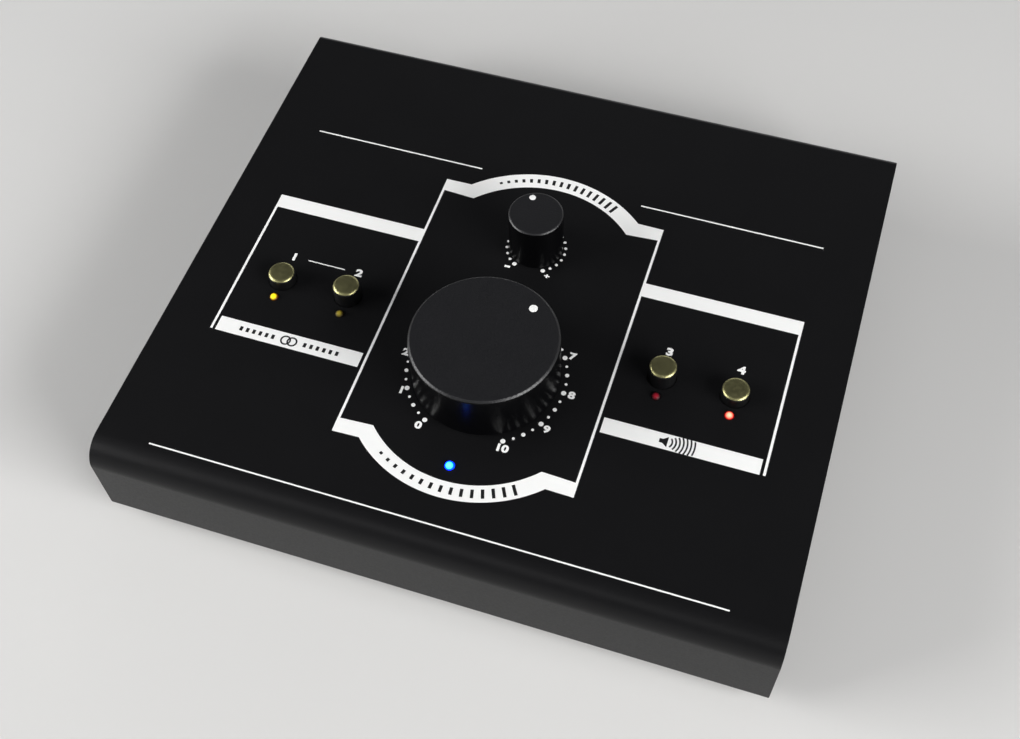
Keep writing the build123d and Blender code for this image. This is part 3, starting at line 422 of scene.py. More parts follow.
for x in base_screw_xs:
    add_cylinder(bm, (x, base_screw_front_y, cover_low_z), screw_hole, punch, segments=32)
boolean(cover, bm, "DIFFERENCE")
freeze(cover, 25)
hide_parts("top_cover")
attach(cover, "case")
coat(powder_coat, "base_tray", "rear_panel")


# ----------------------------------------------------------------------------
# Feet and case screws: four turned rubber feet, each with a screw up its recess, and black
# pan-head screws with a cross recess in the base and in the lip's tabs.
# ----------------------------------------------------------------------------
def lathe(bm, profile, axis=(0, 0), segments=96):
    """Adds a closed turned solid: profile of (radius, z) from the top of the axis round to it."""
    on_axis = 1e-7
    rings = []
    for radius, z in profile:
        angles = [2 * math.pi * i / segments for i in range(segments)] if radius > on_axis else [0.0]
        reach = radius if radius > on_axis else 0.0
        places = [(axis[0] + reach * math.cos(a), axis[1] + reach * math.sin(a), z) for a in angles]
        rings.append([bm.verts.new(place) for place in places])
    for upper, lower in zip(rings, rings[1:]):
        for i in range(segments):
            j = (i + 1) % segments
            corners = [ring[k % len(ring)] for ring, k in ((upper, i), (upper, j), (lower, j), (lower, i))]
            bm.faces.new(list(dict.fromkeys(corners)))


def geometry_tree(name, **inputs):
    """Geometry Nodes tree with inputs of given kinds, and the sockets that give them."""
    tree = bpy.data.node_groups.new(name, "GeometryNodeTree")
    for label, kind in inputs.items():
        tree.interface.new_socket(label, in_out="INPUT", socket_type="NodeSocket" + kind)
    tree.interface.new_socket("Geometry", in_out="OUTPUT", socket_type="NodeSocketGeometry")
    return tree, tree.nodes.new("NodeGroupInput").outputs


repeat_tree, given = geometry_tree(
    "repeat_at_places", Places="Geometry", Template="Object", Axis="Vector", Finish="Material"
)
template = add_node(repeat_tree, "GeometryNodeObjectInfo", links={"Object": given["Template"]})
aim = add_node(repeat_tree, "FunctionNodeAlignRotationToVector", links={"Vector": given["Axis"]}, axis="Z")
copies = add_node(
    repeat_tree, "GeometryNodeInstanceOnPoints",
    links={"Points": given["Places"], "Instance": template.outputs["Geometry"], "Rotation": aim.outputs[0]},
)


def close_tree(tree, instances, material):
    """Ends a Geometry Nodes tree: its instances made real, with a material."""
    real = add_node(tree, "GeometryNodeRealizeInstances", links={0: instances})
    coated = add_node(tree, "GeometryNodeSetMaterial", links={0: real.outputs[0], "Material": material})
    add_node(tree, "NodeGroupOutput", links={0: coated.outputs[0]})


close_tree(repeat_tree, copies.outputs[0], given["Finish"])


def generate(tree, name, places, inputs, smooth_angle=30):
    """Plain mesh that a tree makes from a set of places, with its inputs set by their identifiers."""
    mesh = bpy.data.meshes.new(name)
    mesh.from_pydata([tuple(p) for p in places], [], [])
    piece = placed(name, mesh)
    modifier = piece.modifiers.new("generator", "NODES")
    modifier.node_group = tree
    for socket in tree.interface.items_tree:
        if socket.in_out == "INPUT" and socket.name in inputs:
            modifier[socket.identifier] = inputs[socket.name]
    return freeze(piece, smooth_angle)


# Black oxide: a thin dark conversion layer on steel, slightly uneven, with a soft metal sheen.
black_oxide = finish(
    "black_oxide_steel", ("#141416", "#232326"), (0.3, 0.42), metallic=0.75, grain=0.3, depth=0.004, patch=1.5
)
screw_head = 2.8 * MM
screw_head_height = 1.8 * MM
screw_thread = 1.45 * MM
recess_depth = 1.2 * MM
recess_reach = 1.5 * MM
recess_half = 0.36 * MM


def screw_template(length, material):
    """Pan-head screw, head down: domed head with a tapered cross recess, and a plain shank."""
    crown = [(0, -screw_head_height), (1.2 * MM, -1.72 * MM), (2.0 * MM, -1.45 * MM)]
    crown += [(2.5 * MM, -1.05 * MM), (2.75 * MM, -0.5 * MM), (screw_head, 0)]
    tip = 0.4 * MM
    shank = [(screw_thread, 0), (screw_thread, length - tip), (screw_thread - tip, length), (0, length)]
    bm = bmesh.new()
    lathe(bm, crown + shank, segments=40)
    made = object_from(bm, "template", material)
    for along in (0, 1):
        cut = bmesh.new()
        near, far = [], []
        for a, b in ((-1, -1), (1, -1), (1, 1), (-1, 1)):
            wide = (a * recess_reach, b * recess_half)
            deep = (a * recess_half, b * recess_half * 0.6)
            near.append(cut.verts.new((wide[along], wide[1 - along], -screw_head_height - 0.2 * MM)))
            far.append(cut.verts.new((deep[along], deep[1 - along], recess_depth - screw_head_height)))
        cut.faces.new(near)
        cut.faces.new(far)
        for i in range(4):
            j = (i + 1) % 4
            cut.faces.new((near[i], near[j], far[j], far[i]))
        bmesh.ops.recalc_face_normals(cut, faces=cut.faces)
        boolean(made, cut, "DIFFERENCE")
    return made


def screws(name, node, places, axis, length):
    """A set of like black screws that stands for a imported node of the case."""
    made = screw_template(length, black_oxide)
    piece = generate(repeat_tree, name, places, {"Template": made, "Axis": axis, "Finish": black_oxide})
    bpy.data.objects.remove(made)
    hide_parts(node)
    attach(piece, "case")


floor_z = cover_low_z + cover_sheet
base_screw_places = [(x, base_screw_front_y, cover_low_z) for x in base_screw_xs]
base_screw_places += [(x, base_screw_rear_y, floor_z) for x in base_screw_xs]
screws("base_pan_screws", "base_screws", base_screw_places, (0, 0, 1), 5 * MM)
screws("lip_pan_screws", "rear_screws", [(x, back_y, lip_screw_z) for x in tab_xs], (0, -1, 0), 5 * MM)
foot_x = case_half - 21 * MM
foot_places = [(x, y) for x in (-foot_x, foot_x) for y in (front_y + 27 * MM, back_y - 27 * MM)]
foot_recess = 3.2 * MM
screws("foot_pan_screws", "foot_screws", [(x, y, foot_recess) for x, y in foot_places], (0, 0, 1), 6 * MM)

# Moulded rubber: dull and a little dusty, with a fine bloom on its surface.
rubber = finish("moulded_rubber", ("#131313", "#1f1f1e"), (0.75, 0.9), grain=0.5, depth=0.02, patch=3)
bm = bmesh.new()
foot_outer = 7.5 * MM
foot_profile = [
    (foot_outer, floor_z), (foot_outer - 1.0 * MM, 1.0 * MM), (foot_outer - 1.25 * MM, 0.3 * MM),
    (foot_outer - 1.9 * MM, 0), (3.9 * MM, 0), (3.6 * MM, 0.3 * MM), (3.6 * MM, foot_recess),
    (1.7 * MM, foot_recess), (1.7 * MM, floor_z), (foot_outer, floor_z),
]
lathe(bm, foot_profile, segments=64)
bmesh.ops.remove_doubles(bm, verts=bm.verts, dist=1e-7)
foot = object_from(bm, "template", rubber)
feet = generate(
    repeat_tree, "turned_feet", [(x, y, 0) for x, y in foot_places],
    {"Template": foot, "Axis": (0, 0, 1), "Finish": rubber}, 40,
)
bpy.data.objects.remove(foot)
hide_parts("rubber_feet")
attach(feet, "case")


# ----------------------------------------------------------------------------
# Circuit boards on hexagon standoffs, with their relays, capacitors and amplifier chips.
# Glass epoxy under a green solder mask, plated steel posts and pan screws.
# ----------------------------------------------------------------------------
# Solder mask: glossy green lacquer, lighter where it lies over a copper track.
solder_mask, tree, out = new_material("solder_mask_on_glass_epoxy")
place = add_node(tree, "ShaderNodeTexCoord").outputs["Object"]
cells = add_node(
    tree, "ShaderNodeTexVoronoi", {"Scale": 1 / (6 * MM)}, {"Vector": place},
    distance="MANHATTAN", feature="F1",
)
tracks = maths(tree, "SINE", maths(tree, "MULTIPLY", cells.outputs["Distance"], 40.0))
edge = add_node(tree, "ShaderNodeMapRange", {"From Min": -0.1, "From Max": 0.1}, {0: tracks}).outputs[0]
mask_colour = colour_mix(tree, "#0b3a1c", "#125228", edge)
relief = add_node(tree, "ShaderNodeBump", {"Distance": 0.03 * MM}, {"Height": edge})
surface = add_node(
    tree, "ShaderNodeBsdfPrincipled", {"Roughness": 0.28},
    {"Base Color": mask_colour, "Normal": relief.outputs[0]},
)
tree.links.new(surface.outputs[0], out.inputs[0])
coat(solder_mask, "main_board", "control_board")

# Nickel plating: bright, slightly warm, with faint handling marks.
nickel = finish(
    "nickel_plated_steel", ("#b9b6ae", "#cbc9c3"), (0.18, 0.32), metallic=1.0, grain=0.6, depth=0.003, patch=4
)
coat(
    nickel, "board_standoffs", "board_screws", "control_standoffs", "control_screws", "volume_shaft",
    "headphone_shaft", "volume_pot_nut", "headphone_pot_nut", "dsub_jackscrews", "jack_nuts", "dc_pin",
)
# Pressed pot cases: dull zinc plate with a grey cast.
zinc_plate = finish(
    "zinc_plated_pot_case", ("#9a9b98", "#b1b1ac"), (0.35, 0.5), metallic=1.0, grain=0.8, depth=0.006, patch=5
)
coat(zinc_plate, "volume_pot", "headphone_pot")
# Moulded ABS and nylon: near black, satin, with a fine spark-eroded texture.
black_plastic = finish(
    "spark_textured_black_plastic", ("#121213", "#1a1a1b"), (0.38, 0.52), grain=0.35, depth=0.012, patch=6
)
coat(
    black_plastic, "link_header", "link_socket", "led_spacers", "dc_inlet", "power_switch_body",
    "power_rocker", "jack_1", "jack_2", "jack_3", "dsub_insulator_1", "dsub_insulator_2",
    *[f"{part}_{i}" for part in ("switch_housing", "button_plunger") for i in (1, 2, 3, 4)],
)
# Filled epoxy chip packages: dark grey and matt, with a grainy moulded face.
chip_epoxy = finish(
    "moulded_chip_epoxy", ("#1c1c1d", "#28282a"), (0.55, 0.7), grain=0.25, depth=0.01, patch=3
)
coat(chip_epoxy, "amplifier_chips")
# Relay covers: pale thermoplastic, slightly yellowed, with a mould sheen.
relay_plastic = finish(
    "moulded_relay_cover", ("#c9c7bd", "#d6d5cd"), (0.3, 0.42), grain=0.5, depth=0.005, patch=7
)
coat(relay_plastic, "relays")
# Capacitor sleeves: shrunk PVC, dark blue and glossy, rippled by the shrinking.
shrink_sleeve = finish(
    "shrunk_pvc_sleeve", ("#0d1328", "#141c38"), (0.2, 0.3), grain=1.6, depth=0.03, patch=5
)
coat(shrink_sleeve, "capacitors")


# ----------------------------------------------------------------------------
# Screen print on the top: white epoxy ink, a few hundredths of a millimetre thick. Frames,
# bands and rules, the two dials, button numbers, and black level marks over the white bands.
# ----------------------------------------------------------------------------
ink_height = 0.03 * MM
ink_sunk = 0.01 * MM
white_ink = finish("white_screen_ink", ("#f6f6f4", "#fdfdfb"), (0.4, 0.5), grain=0.3, depth=0.004, patch=9)
black_ink = finish("black_screen_ink", ("#0d0d0e", "#131314"), (0.42, 0.52), grain=0.3, depth=0.004, patch=9)

over_line = 0.01 * MM  # the bands are printed over the ends of the lines
# Places on the top in mm. Lines, bars and bands have a twin on the other side of the middle.
line_width = 0.8
lines = ((90.0, -42.1, 15.8), (38.0, -65.9, 39.0))  # x, then y from and to
bars = ((38.2, 90.4, 10.55, 15.9), (39.5, 88.6, -42.2, -36.75))  # x from and to, y from and to
rule_width = 0.5
rules = ((-89.3, -28.3, 46.9), (28.5, 90.5, 46.9), (-89.9, 90.0, -86.7))  # x from and to, y
band_upper = {"stub": (39.0, 34.2), "stub_x": (38.3, 29.5, 26.9), "centre": 8.1, "radii": (42.8, 37.0)}
band_lower = {"stub": (-65.9, -61.0), "stub_x": (38.3, 29.6, 26.9), "centre": -34.9, "radii": (42.7, 37.1)}


def print_shape(bm, outline, lift=0.0):
    """Adds one printed shape: an outline in mm on the top, as a thin closed prism."""
    points = [(x * MM, y * MM, 0) for x, y in outline]
    add_prism(bm, points, (0, 0, top_z - ink_sunk + lift), (0, 0, ink_height + ink_sunk))


def print_bar(bm, x0, x1, y0, y1, lift=0.0):
    print_shape(bm, [(x0, y0), (x1, y0), (x1, y1), (x0, y1)], lift)


def print_band(bm, band, side):
    """Adds a bowed band: a short straight stub at each end and an arc between them."""
    (outer_y, inner_y), (end_x, bend_outer, bend_inner) = band["stub"], band["stub_x"]
    centre, (outer, inner) = band["centre"], band["radii"]
    outer_angle = math.degrees(math.asin(bend_outer / outer))
    inner_angle = math.degrees(math.asin(bend_inner / inner))
    steps = 40
    far = arc_points((0, centre), outer, 90 - side * outer_angle, 90 + side * outer_angle, steps)
    near = arc_points((0, centre), inner, 90 - side * inner_angle, 90 + side * inner_angle, steps)
    if side < 0:
        far = [(x, 2 * centre - y) for x, y in far]
        near = [(x, 2 * centre - y) for x, y in near]
    points = [(side * end_x, outer_y)] + far + [(-side * end_x, outer_y), (-side * end_x, inner_y)]
    points += near[::-1] + [(side * end_x, inner_y)]
    print_shape(bm, points, over_line)


bm = bmesh.new()
for side in (-1, 1):
    for x, y0, y1 in lines:
        print_bar(bm, side * x - line_width / 2, side * x + line_width / 2, y0, y1)
    for x0, x1, y0, y1 in bars:
        print_bar(bm, *sorted((side * x0, side * x1)), y0, y1, over_line)
    print_band(bm, band_upper if side > 0 else band_lower, side)
for x0, x1, y in rules:
    print_bar(bm, x0, x1, y - rule_width / 2, y + rule_width / 2)
button_numeral_y = -7.7
print_bar(bm, -70.5, -57.5, button_numeral_y - 0.3, button_numeral_y + 0.1)
printed = [object_from(bm, "printed_frames", white_ink)]


def printed_text(name, text, height, x, y, onto=None):
    """Bold numeral or sign of a height in mm, middle at x, y on the top or on another face."""
    curve = bpy.data.curves.new(name, "FONT")
    curve.body = text
    curve.offset = 0.05
    curve.extrude = 0.5
    curve.resolution_u = 4
    holder = placed(name, curve)
    depsgraph = bpy.context.evaluated_depsgraph_get()
    mesh = bpy.data.meshes.new_from_object(holder.evaluated_get(depsgraph))
    bpy.data.objects.remove(holder)
    low = Vector([min(v.co[i] for v in mesh.vertices) for i in range(3)])
    high = Vector([max(v.co[i] for v in mesh.vertices) for i in range(3)])
    scale = height * MM / (high.y - low.y) if text not in "-+" else height * MM / (high.x - low.x)
    deep = (ink_height + ink_sunk) / (high.z - low.z)
    middle_point = (low + high) / 2
    mesh.transform(Matrix.Diagonal((scale * 1.25, scale, deep, 1)) @ Matrix.Translation(-middle_point))
    mesh.transform(Matrix.Translation((x * MM, y * MM, top_z + (ink_height - ink_sunk) / 2)))
    mesh.transform(onto or Matrix())
    mesh.materials.clear()
    mesh.materials.append(white_ink)
    printed.append(placed(name, mesh))


volume_at = middle("volume_pot")
small_at = middle("headphone_pot")
dial_start = 240.0
# Narrow and wide numerals sit off the circle by this many millimetres.
numeral_shift = {1: (0.8, 0.2), 2: (0.9, 0.0), 10: (-0.5, -0.1)}
numeral_radius = 27.7
for i in range(11):
    a = math.radians(dial_start - 30.0 * i)
    shift_x, shift_y = numeral_shift.get(i, (0.0, 0.0))
    printed_text(
        f"dial_numeral_{i}", str(i), 2.7,
        numeral_radius * math.cos(a) + shift_x, volume_at.y / MM + numeral_radius * math.sin(a) + shift_y,
    )
for i in (1, 2, 3, 4):
    printed_text(f"button_numeral_{i}", str(i), 3.0, middle(f"button_cap_{i}").x / MM, button_numeral_y)
printed_text("level_minus", "-", 1.5, -6.8, small_at.y / MM - 10.1)
printed_text("level_plus", "+", 1.45, 6.8, small_at.y / MM - 10.15)

# Dial dots: round dots on a circle, some large and some of middling size.
dial_tree, given = geometry_tree(
    "dial_dots", Places="Geometry", Count="Int", Radius="Float", Start="Float", Step="Float",
    LargeEvery="Int", MiddleEvery="Int", Large="Float", Middle="Float", Small="Float", Thickness="Float",
    Finish="Material",
)
index = dial_tree.nodes.new("GeometryNodeInputIndex").outputs[0]
angle = maths(dial_tree, "SUBTRACT", given["Start"], maths(dial_tree, "MULTIPLY", index, given["Step"]))
where = add_node(
    dial_tree, "ShaderNodeCombineXYZ",
    links={
        i: maths(dial_tree, "MULTIPLY", given["Radius"], maths(dial_tree, turn, angle))
        for i, turn in enumerate(("COSINE", "SINE"))
    },
)
dots = add_node(
    dial_tree, "GeometryNodePoints", links={"Count": given["Count"], "Position": where.outputs[0]}
)
width = given["Small"]
for kind in ("Middle", "Large"):
    place_in_row = maths(dial_tree, "MODULO", index, given[kind + "Every"])
    chosen = maths(dial_tree, "LESS_THAN", place_in_row, 0.5)
    width = add_node(dial_tree, "ShaderNodeMix", links={0: chosen, 2: width, 3: given[kind]}).outputs[0]
size = add_node(dial_tree, "ShaderNodeCombineXYZ", links={0: width, 1: width, 2: given["Thickness"]})
disc = add_node(dial_tree, "GeometryNodeMeshCylinder", {"Vertices": 20, "Radius": 0.5, "Depth": 1.0})
copies = add_node(
    dial_tree, "GeometryNodeInstanceOnPoints",
    links={"Points": dots.outputs[0], "Instance": disc.outputs[0], "Scale": size.outputs[0]},
)
centred = add_node(
    dial_tree, "GeometryNodeInstanceOnPoints",
    links={"Points": given["Places"], "Instance": copies.outputs[0]},
)
close_tree(dial_tree, centred.outputs[0], given["Finish"])
dot_z = top_z + (ink_height - ink_sunk) / 2
dial = {"Start": math.radians(dial_start), "Thickness": ink_height + ink_sunk, "Finish": white_ink}
printed.append(
    generate(
        dial_tree, "volume_dial_dots", [(0, volume_at.y, dot_z)],
        dial | {
            "Count": 41, "Radius": 25.14 * MM, "Step": math.radians(7.5), "LargeEvery": 4,
            "MiddleEvery": 2, "Large": 1.6 * MM, "Middle": 1.34 * MM, "Small": 0.92 * MM,
        },
    )
)
printed.append(
    generate(
        dial_tree, "level_dial_dots", [(0, small_at.y, dot_z)],
        dial | {
            "Count": 21, "Radius": 9.75 * MM, "Step": math.radians(15.0), "LargeEvery": 20,
            "MiddleEvery": 20, "Large": 1.5 * MM, "Middle": 1.02 * MM, "Small": 1.02 * MM,
        },
    )
)

# Black marks over the bands: a row of ticks that grows along each bowed band, two linked
# rings on the left bar and a loudspeaker on the right one.
bm = bmesh.new()
over = ink_height + over_line
for band, side, ticks in ((band_upper, 1, 17), (band_lower, -1, 15)):
    mid = sum(band["radii"]) / 2
    for i in range(ticks):
        share = i / (ticks - 1)
        a = math.radians(120 - 60 * share if side > 0 else 238 + 64 * share)
        half = 0.45 + 1.35 * share
        along = Vector((-math.sin(a), math.cos(a))) * 0.5
        out_way = Vector((math.cos(a), math.sin(a)))
        at = Vector((0, band["centre"]))
        print_shape(
            bm,
            [at + out_way * (mid - half) - along, at + out_way * (mid - half) + along,
             at + out_way * (mid + half) + along, at + out_way * (mid + half) - along],
            over,
        )


def print_arc(bm, x, y, radius, width, start, end, lift):
    """Adds an arc of a line's width around x, y."""
    steps = 28
    outer = arc_points((x, y), radius + width / 2, start, end, steps)
    inner = arc_points((x, y), radius - width / 2, start, end, steps)
    for i in range(steps):
        print_shape(bm, [outer[i], outer[i + 1], inner[i + 1], inner[i]], lift)


bar_y = -39.5
for x in (-65.1, -62.9):
    print_arc(bm, x, bar_y, 1.5, 0.55, 0, 360, over)
for side in (-1, 1):
    for i in range(6):
        x = -64.0 + side * (5.5 + 2.2 * i)
        half = 0.8
        print_bar(bm, x - 0.5, x + 0.5, bar_y - half, bar_y + half, over)
speaker_x = 60.0
print_shape(
    bm,
    [(speaker_x - 2.6, bar_y - 0.7), (speaker_x - 1.5, bar_y - 0.7), (speaker_x, bar_y - 1.8),
     (speaker_x, bar_y + 1.8), (speaker_x - 1.5, bar_y + 0.7), (speaker_x - 2.6, bar_y + 0.7)],
    over,
)
for i in range(7):
    print_arc(bm, speaker_x - 0.8, bar_y, 2.2 + 1.15 * i, 0.5, -42 + 4.4 * i, 42 - 4.4 * i, over)
printed.append(object_from(bm, "printed_band_marks", black_ink))
for piece in printed:
    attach(piece, "case")


# ----------------------------------------------------------------------------
# Master knob: a cup turned from aluminium bar, black anodised, with a fine blasted top, a
# chamfered edge and a smooth polished side; a grub screw clamps its hub to the shaft.
# ----------------------------------------------------------------------------
# Blasted and anodised face: soft charcoal sheen, with pits of a few tenths of a millimetre.
blasted_anodise = finish(
    "blasted_black_anodise", ("#131315", "#1b1b1d"), (0.36, 0.46), grain=0.6, depth=0.07, patch=8,
    settings={"Specular IOR Level": 0.5},
)
# Turned and anodised side: near black with a satin shine, so a lamp mirrors in it as a soft patch.
turned_anodise = finish(
    "turned_black_anodise", ("#030304", "#060607"), (0.3, 0.32), grain=2.5, patch=9,
    settings={"Specular IOR Level": 0.12},
)


def turned_knob(name, at, top, radius, edge, below):
    """Knob turned about a shaft: blasted face, softened chamfer, satin side, hollow below."""
    profile = [(0, top)] + [
        (radius - a * edge, top - b * edge)
        for a, b in ((1.0, 0), (0.8, 0.05), (0.62, 0.17), (0.17, 0.62), (0.05, 0.8), (0, 1.0))
    ]
    bm = bmesh.new()
    lathe(bm, profile + below, (at.x, at.y), 160)
    made = object_from(bm, name, blasted_anodise)
    made.data.materials.append(turned_anodise)
    for face in made.data.polygons:
        if face.center.z < top - 0.65 * edge:
            face.material_index = 1
    return made


dot_proud = 0.06 * MM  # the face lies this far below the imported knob's top, where the dots reach


def filled_dot(name, centre, radius, top, node, body):
    """White enamel filled into a drilled pocket, standing slightly proud of the face and crowned."""
    bm = bmesh.new()
    crown = [(0, top + dot_proud), (radius * 0.7, top + 0.75 * dot_proud), (radius, top + 0.1 * dot_proud)]
    lathe(bm, crown + [(radius, top - 0.5 * MM), (0, top - 0.5 * MM)], centre, 40)
    made = object_from(bm, name, white_ink)
    freeze(made, 50)
    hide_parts(node)
    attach(made, body)


shaft_bore = 3.06 * MM
low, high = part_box("volume_knob")
knob_radius = (high.x - low.x) / 2
knob_top = high.z
knob_roof = knob_top - 3.2 * MM
inner_radius = knob_radius - 2.8 * MM
hub_radius = 7.5 * MM
hub_low = top_z + 9.0 * MM
rim_break = 0.4 * MM
master = turned_knob(
    "master_knob_turned", volume_at, knob_top - dot_proud, knob_radius, 1.0 * MM,
    [
        (knob_radius, low.z + rim_break), (knob_radius - rim_break, low.z), (inner_radius, low.z),
        (inner_radius, knob_roof), (hub_radius, knob_roof), (hub_radius, hub_low), (shaft_bore, hub_low),
        (shaft_bore, knob_roof), (0, knob_roof),
    ],
)
marker_angle = math.radians(52.6)
marker_way = Vector((math.cos(marker_angle), math.sin(marker_angle), 0))
bm = bmesh.new()
access_at = Vector((0, volume_at.y, top_z + 12.8 * MM)) + marker_way * (knob_radius - 2 * MM)
access = Matrix.Translation(access_at) @ marker_way.to_track_quat("Z", "Y").to_matrix().to_4x4()
access_radius = 1.8 * MM
bmesh.ops.create_cone(
    bm, cap_ends=True, segments=32, radius1=access_radius, radius2=access_radius, depth=8 * MM, matrix=access
)
boolean(master, bm, "DIFFERENCE")
freeze(master, 30)
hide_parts("volume_knob")
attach(master, "volume_control")
coat(black_oxide, "volume_set_screw")
at = middle("volume_marker")
filled_dot(
    "master_knob_dot", (at.x, at.y), 1.35 * MM, knob_top - dot_proud, "volume_marker", "volume_control"
)


# ----------------------------------------------------------------------------
# Small level knob: turned from the same black anodised aluminium, solid but for a pocket
# over the shaft's nut, and pushed onto the shaft.
# ----------------------------------------------------------------------------
low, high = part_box("headphone_knob")
small_radius = (high.x - low.x) / 2
small_top = high.z
pocket_radius = 6.9 * MM
pocket_roof = top_z + 4.6 * MM
bore_end = small_top - 2.4 * MM
small = turned_knob(
    "level_knob_turned", small_at, small_top - dot_proud, small_radius, 0.7 * MM,
    [
        (small_radius, low.z), (pocket_radius, low.z), (pocket_radius, pocket_roof),
        (shaft_bore, pocket_roof), (shaft_bore, bore_end), (0, bore_end),
    ],
)
freeze(small, 30)
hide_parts("headphone_knob")
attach(small, "headphone_control")
at = middle("headphone_marker")
filled_dot(
    "level_knob_dot", (at.x, at.y), 1.05 * MM, small_top - dot_proud, "headphone_marker", "headphone_control"
)


# ----------------------------------------------------------------------------
# Push buttons: black ABS caps whose crowned face and rounded rim carry a champagne metal film
# under lacquer, hot-stamped half way down the rim; the black lower half of the rim is painted
# shade, dark where the film would mirror the pale table. The first and the last are latched in.
# ----------------------------------------------------------------------------
# Champagne film: a mirror-like pale gold, softened by the lacquer and its fine waviness.
champagne_film = finish(
    "champagne_metallised_abs", ("#9a966a", "#a6a376"), (0.36, 0.46), metallic=1.0, grain=1.2, depth=0.006,
    patch=3,
)
# Moulded side of the cap and lower half of its rim: plain black ABS with the mould's soft shine; on the rim
# the black is painted shade.
cap_abs_and_painted_shade = finish(
    "moulded_black_abs", ("#060607", "#0b0b0c"), (0.36, 0.46), grain=0.5, depth=0.003, patch=3,
    settings={"Specular IOR Level": 0.4},
)
cap_radius = 4.4 * MM
cap_rim = 1.3 * MM
cap_crown = 0.2 * MM
cap_height = 8.0 * MM
for i in (1, 2, 3, 4):
    at = middle(f"button_cap_{i}")
    cap_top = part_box(f"button_cap_{i}")[1].z
    flat = cap_radius - cap_rim
    crown = [(flat * s / 6, cap_top - cap_crown * (s / 6) ** 2) for s in range(6)]
    rim = arc_points((flat, cap_top - cap_crown - cap_rim), cap_rim, 84, 0, 10)
    below = [(cap_radius, cap_top - cap_height), (0, cap_top - cap_height)]
    bm = bmesh.new()
    lathe(bm, crown + rim + below, (at.x, at.y), 72)
    cap = object_from(bm, f"metallised_cap_{i}", champagne_film)
    cap.data.materials.append(cap_abs_and_painted_shade)
    for face in cap.data.polygons:
        # The film ends half way down the rim: the black below it on the rim is painted shade.
        if face.center.z < cap_top - cap_crown - 0.5 * cap_rim:
            face.material_index = 1
    freeze(cap, 50)
    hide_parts(f"button_cap_{i}")
    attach(cap, f"button_{i}")


# ----------------------------------------------------------------------------
# Indicator lamps: 3 mm LEDs of cast epoxy, with a domed end, a rim at the foot and two tinned
# leads, stood off the board by a tube. Three of the five are lit; the two unlit ones carry a faint
# painted glow over the chip.
# ----------------------------------------------------------------------------
def lamp_epoxy(name, centre, core, rim, glow, rim_glow):
    """Tinted cast epoxy; a lit lamp is brightest over its chip and deeper and dimmer at its rim.
    An unlit lamp given a glow gets a faint painted glow over its chip.
    """
    made, tree, out = new_material(name)
    place = add_node(tree, "ShaderNodeTexCoord").outputs["Object"]
    from_chip = add_node(
        tree, "ShaderNodeVectorMath", {1: tuple(centre)}, {0: place}, operation="DISTANCE"
    ).outputs["Value"]
    share = add_node(
        tree, "ShaderNodeMapRange", {"From Min": 0.4 * MM, "From Max": 1.3 * MM}, {0: from_chip},
        interpolation_type="SMOOTHSTEP",
    )
    haze = add_node(tree, "ShaderNodeTexNoise", {"Scale": 1 / (0.8 * MM)}, {"Vector": place})
    tone = colour_mix(tree, core, rim, share.outputs[0])
    cloud = add_node(tree, "ShaderNodeMapRange", {"To Min": 0.45, "To Max": 0.6}, {0: haze.outputs[0]})
    light = add_node(
        tree, "ShaderNodeMapRange",
        {"From Min": 1.05 * MM, "From Max": 1.5 * MM, "To Min": glow, "To Max": rim_glow}, {0: from_chip},
        interpolation_type="SMOOTHSTEP",
    )
    surface = add_node(
        tree, "ShaderNodeBsdfPrincipled", {"Specular IOR Level": 0.2},
        {"Base Color": tone, "Emission Color": tone, "Roughness": cloud.outputs[0],
         "Emission Strength": light.outputs[0]},
    )
    tree.links.new(surface.outputs[0], out.inputs[0])
    return made


lamp_looks = {
    # colour over the chip, colour at the rim, glow over the chip, glow at the rim, material slot
    "led_1": ("#fbdc1a", "#3a1602", 1.7, 0.1, "lamp_yellow_lit"),
    # The two unlit lamps glow faintly over the chip: painted glow, as they are not lit.
    "led_2": ("#8a7a26", "#150e03", 0.5, 0.0, "lamp_yellow"),
    "led_3": ("#7e1020", "#100103", 0.6, 0.0, "lamp_red"),
    "led_4": ("#e2a684", "#9c0404", 1.7, 0.1, "lamp_red_lit"),
    "power_led": ("#1e7c8c", "#0018b4", 24.0, 14.0, "lamp_blue_lit"),
}
lamp_radius = 1.5 * MM
lamp_length = 5.3 * MM
dome_radius = 1.35 * MM
foot_radius = 1.9 * MM
foot_height = 1.0 * MM
lead_half = 0.25 * MM
lead_from_axis = 1.0 * MM
for name in lamp_names:
    core, rim, glow, rim_glow, slot_name = lamp_looks[name]
    at = middle(name)
    low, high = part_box(name)
    dome = high.z
    foot_z = dome - lamp_length
    foot_top = foot_z + foot_height
    bm = bmesh.new()
    body = arc_points((lamp_radius - dome_radius, dome - dome_radius), dome_radius, 90, 0, 9)
    body = [(0, dome)] + body + [(lamp_radius, foot_top), (foot_radius, foot_top)]
    lathe(bm, body + [(foot_radius, foot_z), (0, foot_z)], (at.x, at.y), 48)
    for side in (-1, 1):
        corners = [
            (at.x + side * lead_from_axis + a * lead_half, at.y + b * lead_half, low.z)
            for a, b in ((-1, -1), (1, -1), (1, 1), (-1, 1))
        ]
        add_prism(bm, corners, (0, 0, 0), (0, 0, foot_z - low.z))
    chip = Vector((at.x, at.y - 0.25 * MM, dome - 0.6 * MM))
    epoxy = lamp_epoxy(f"cast_epoxy_{name}", chip, core, rim, glow, rim_glow)
    lens = object_from(bm, f"epoxy_{name}", epoxy)
    lens.data.materials.append(nickel)
    for face in lens.data.polygons:
        if face.center.z < foot_z - 0.001 * MM:
            face.material_index = 1
    freeze(lens, 50)
    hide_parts(name)
    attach(lens, "case")


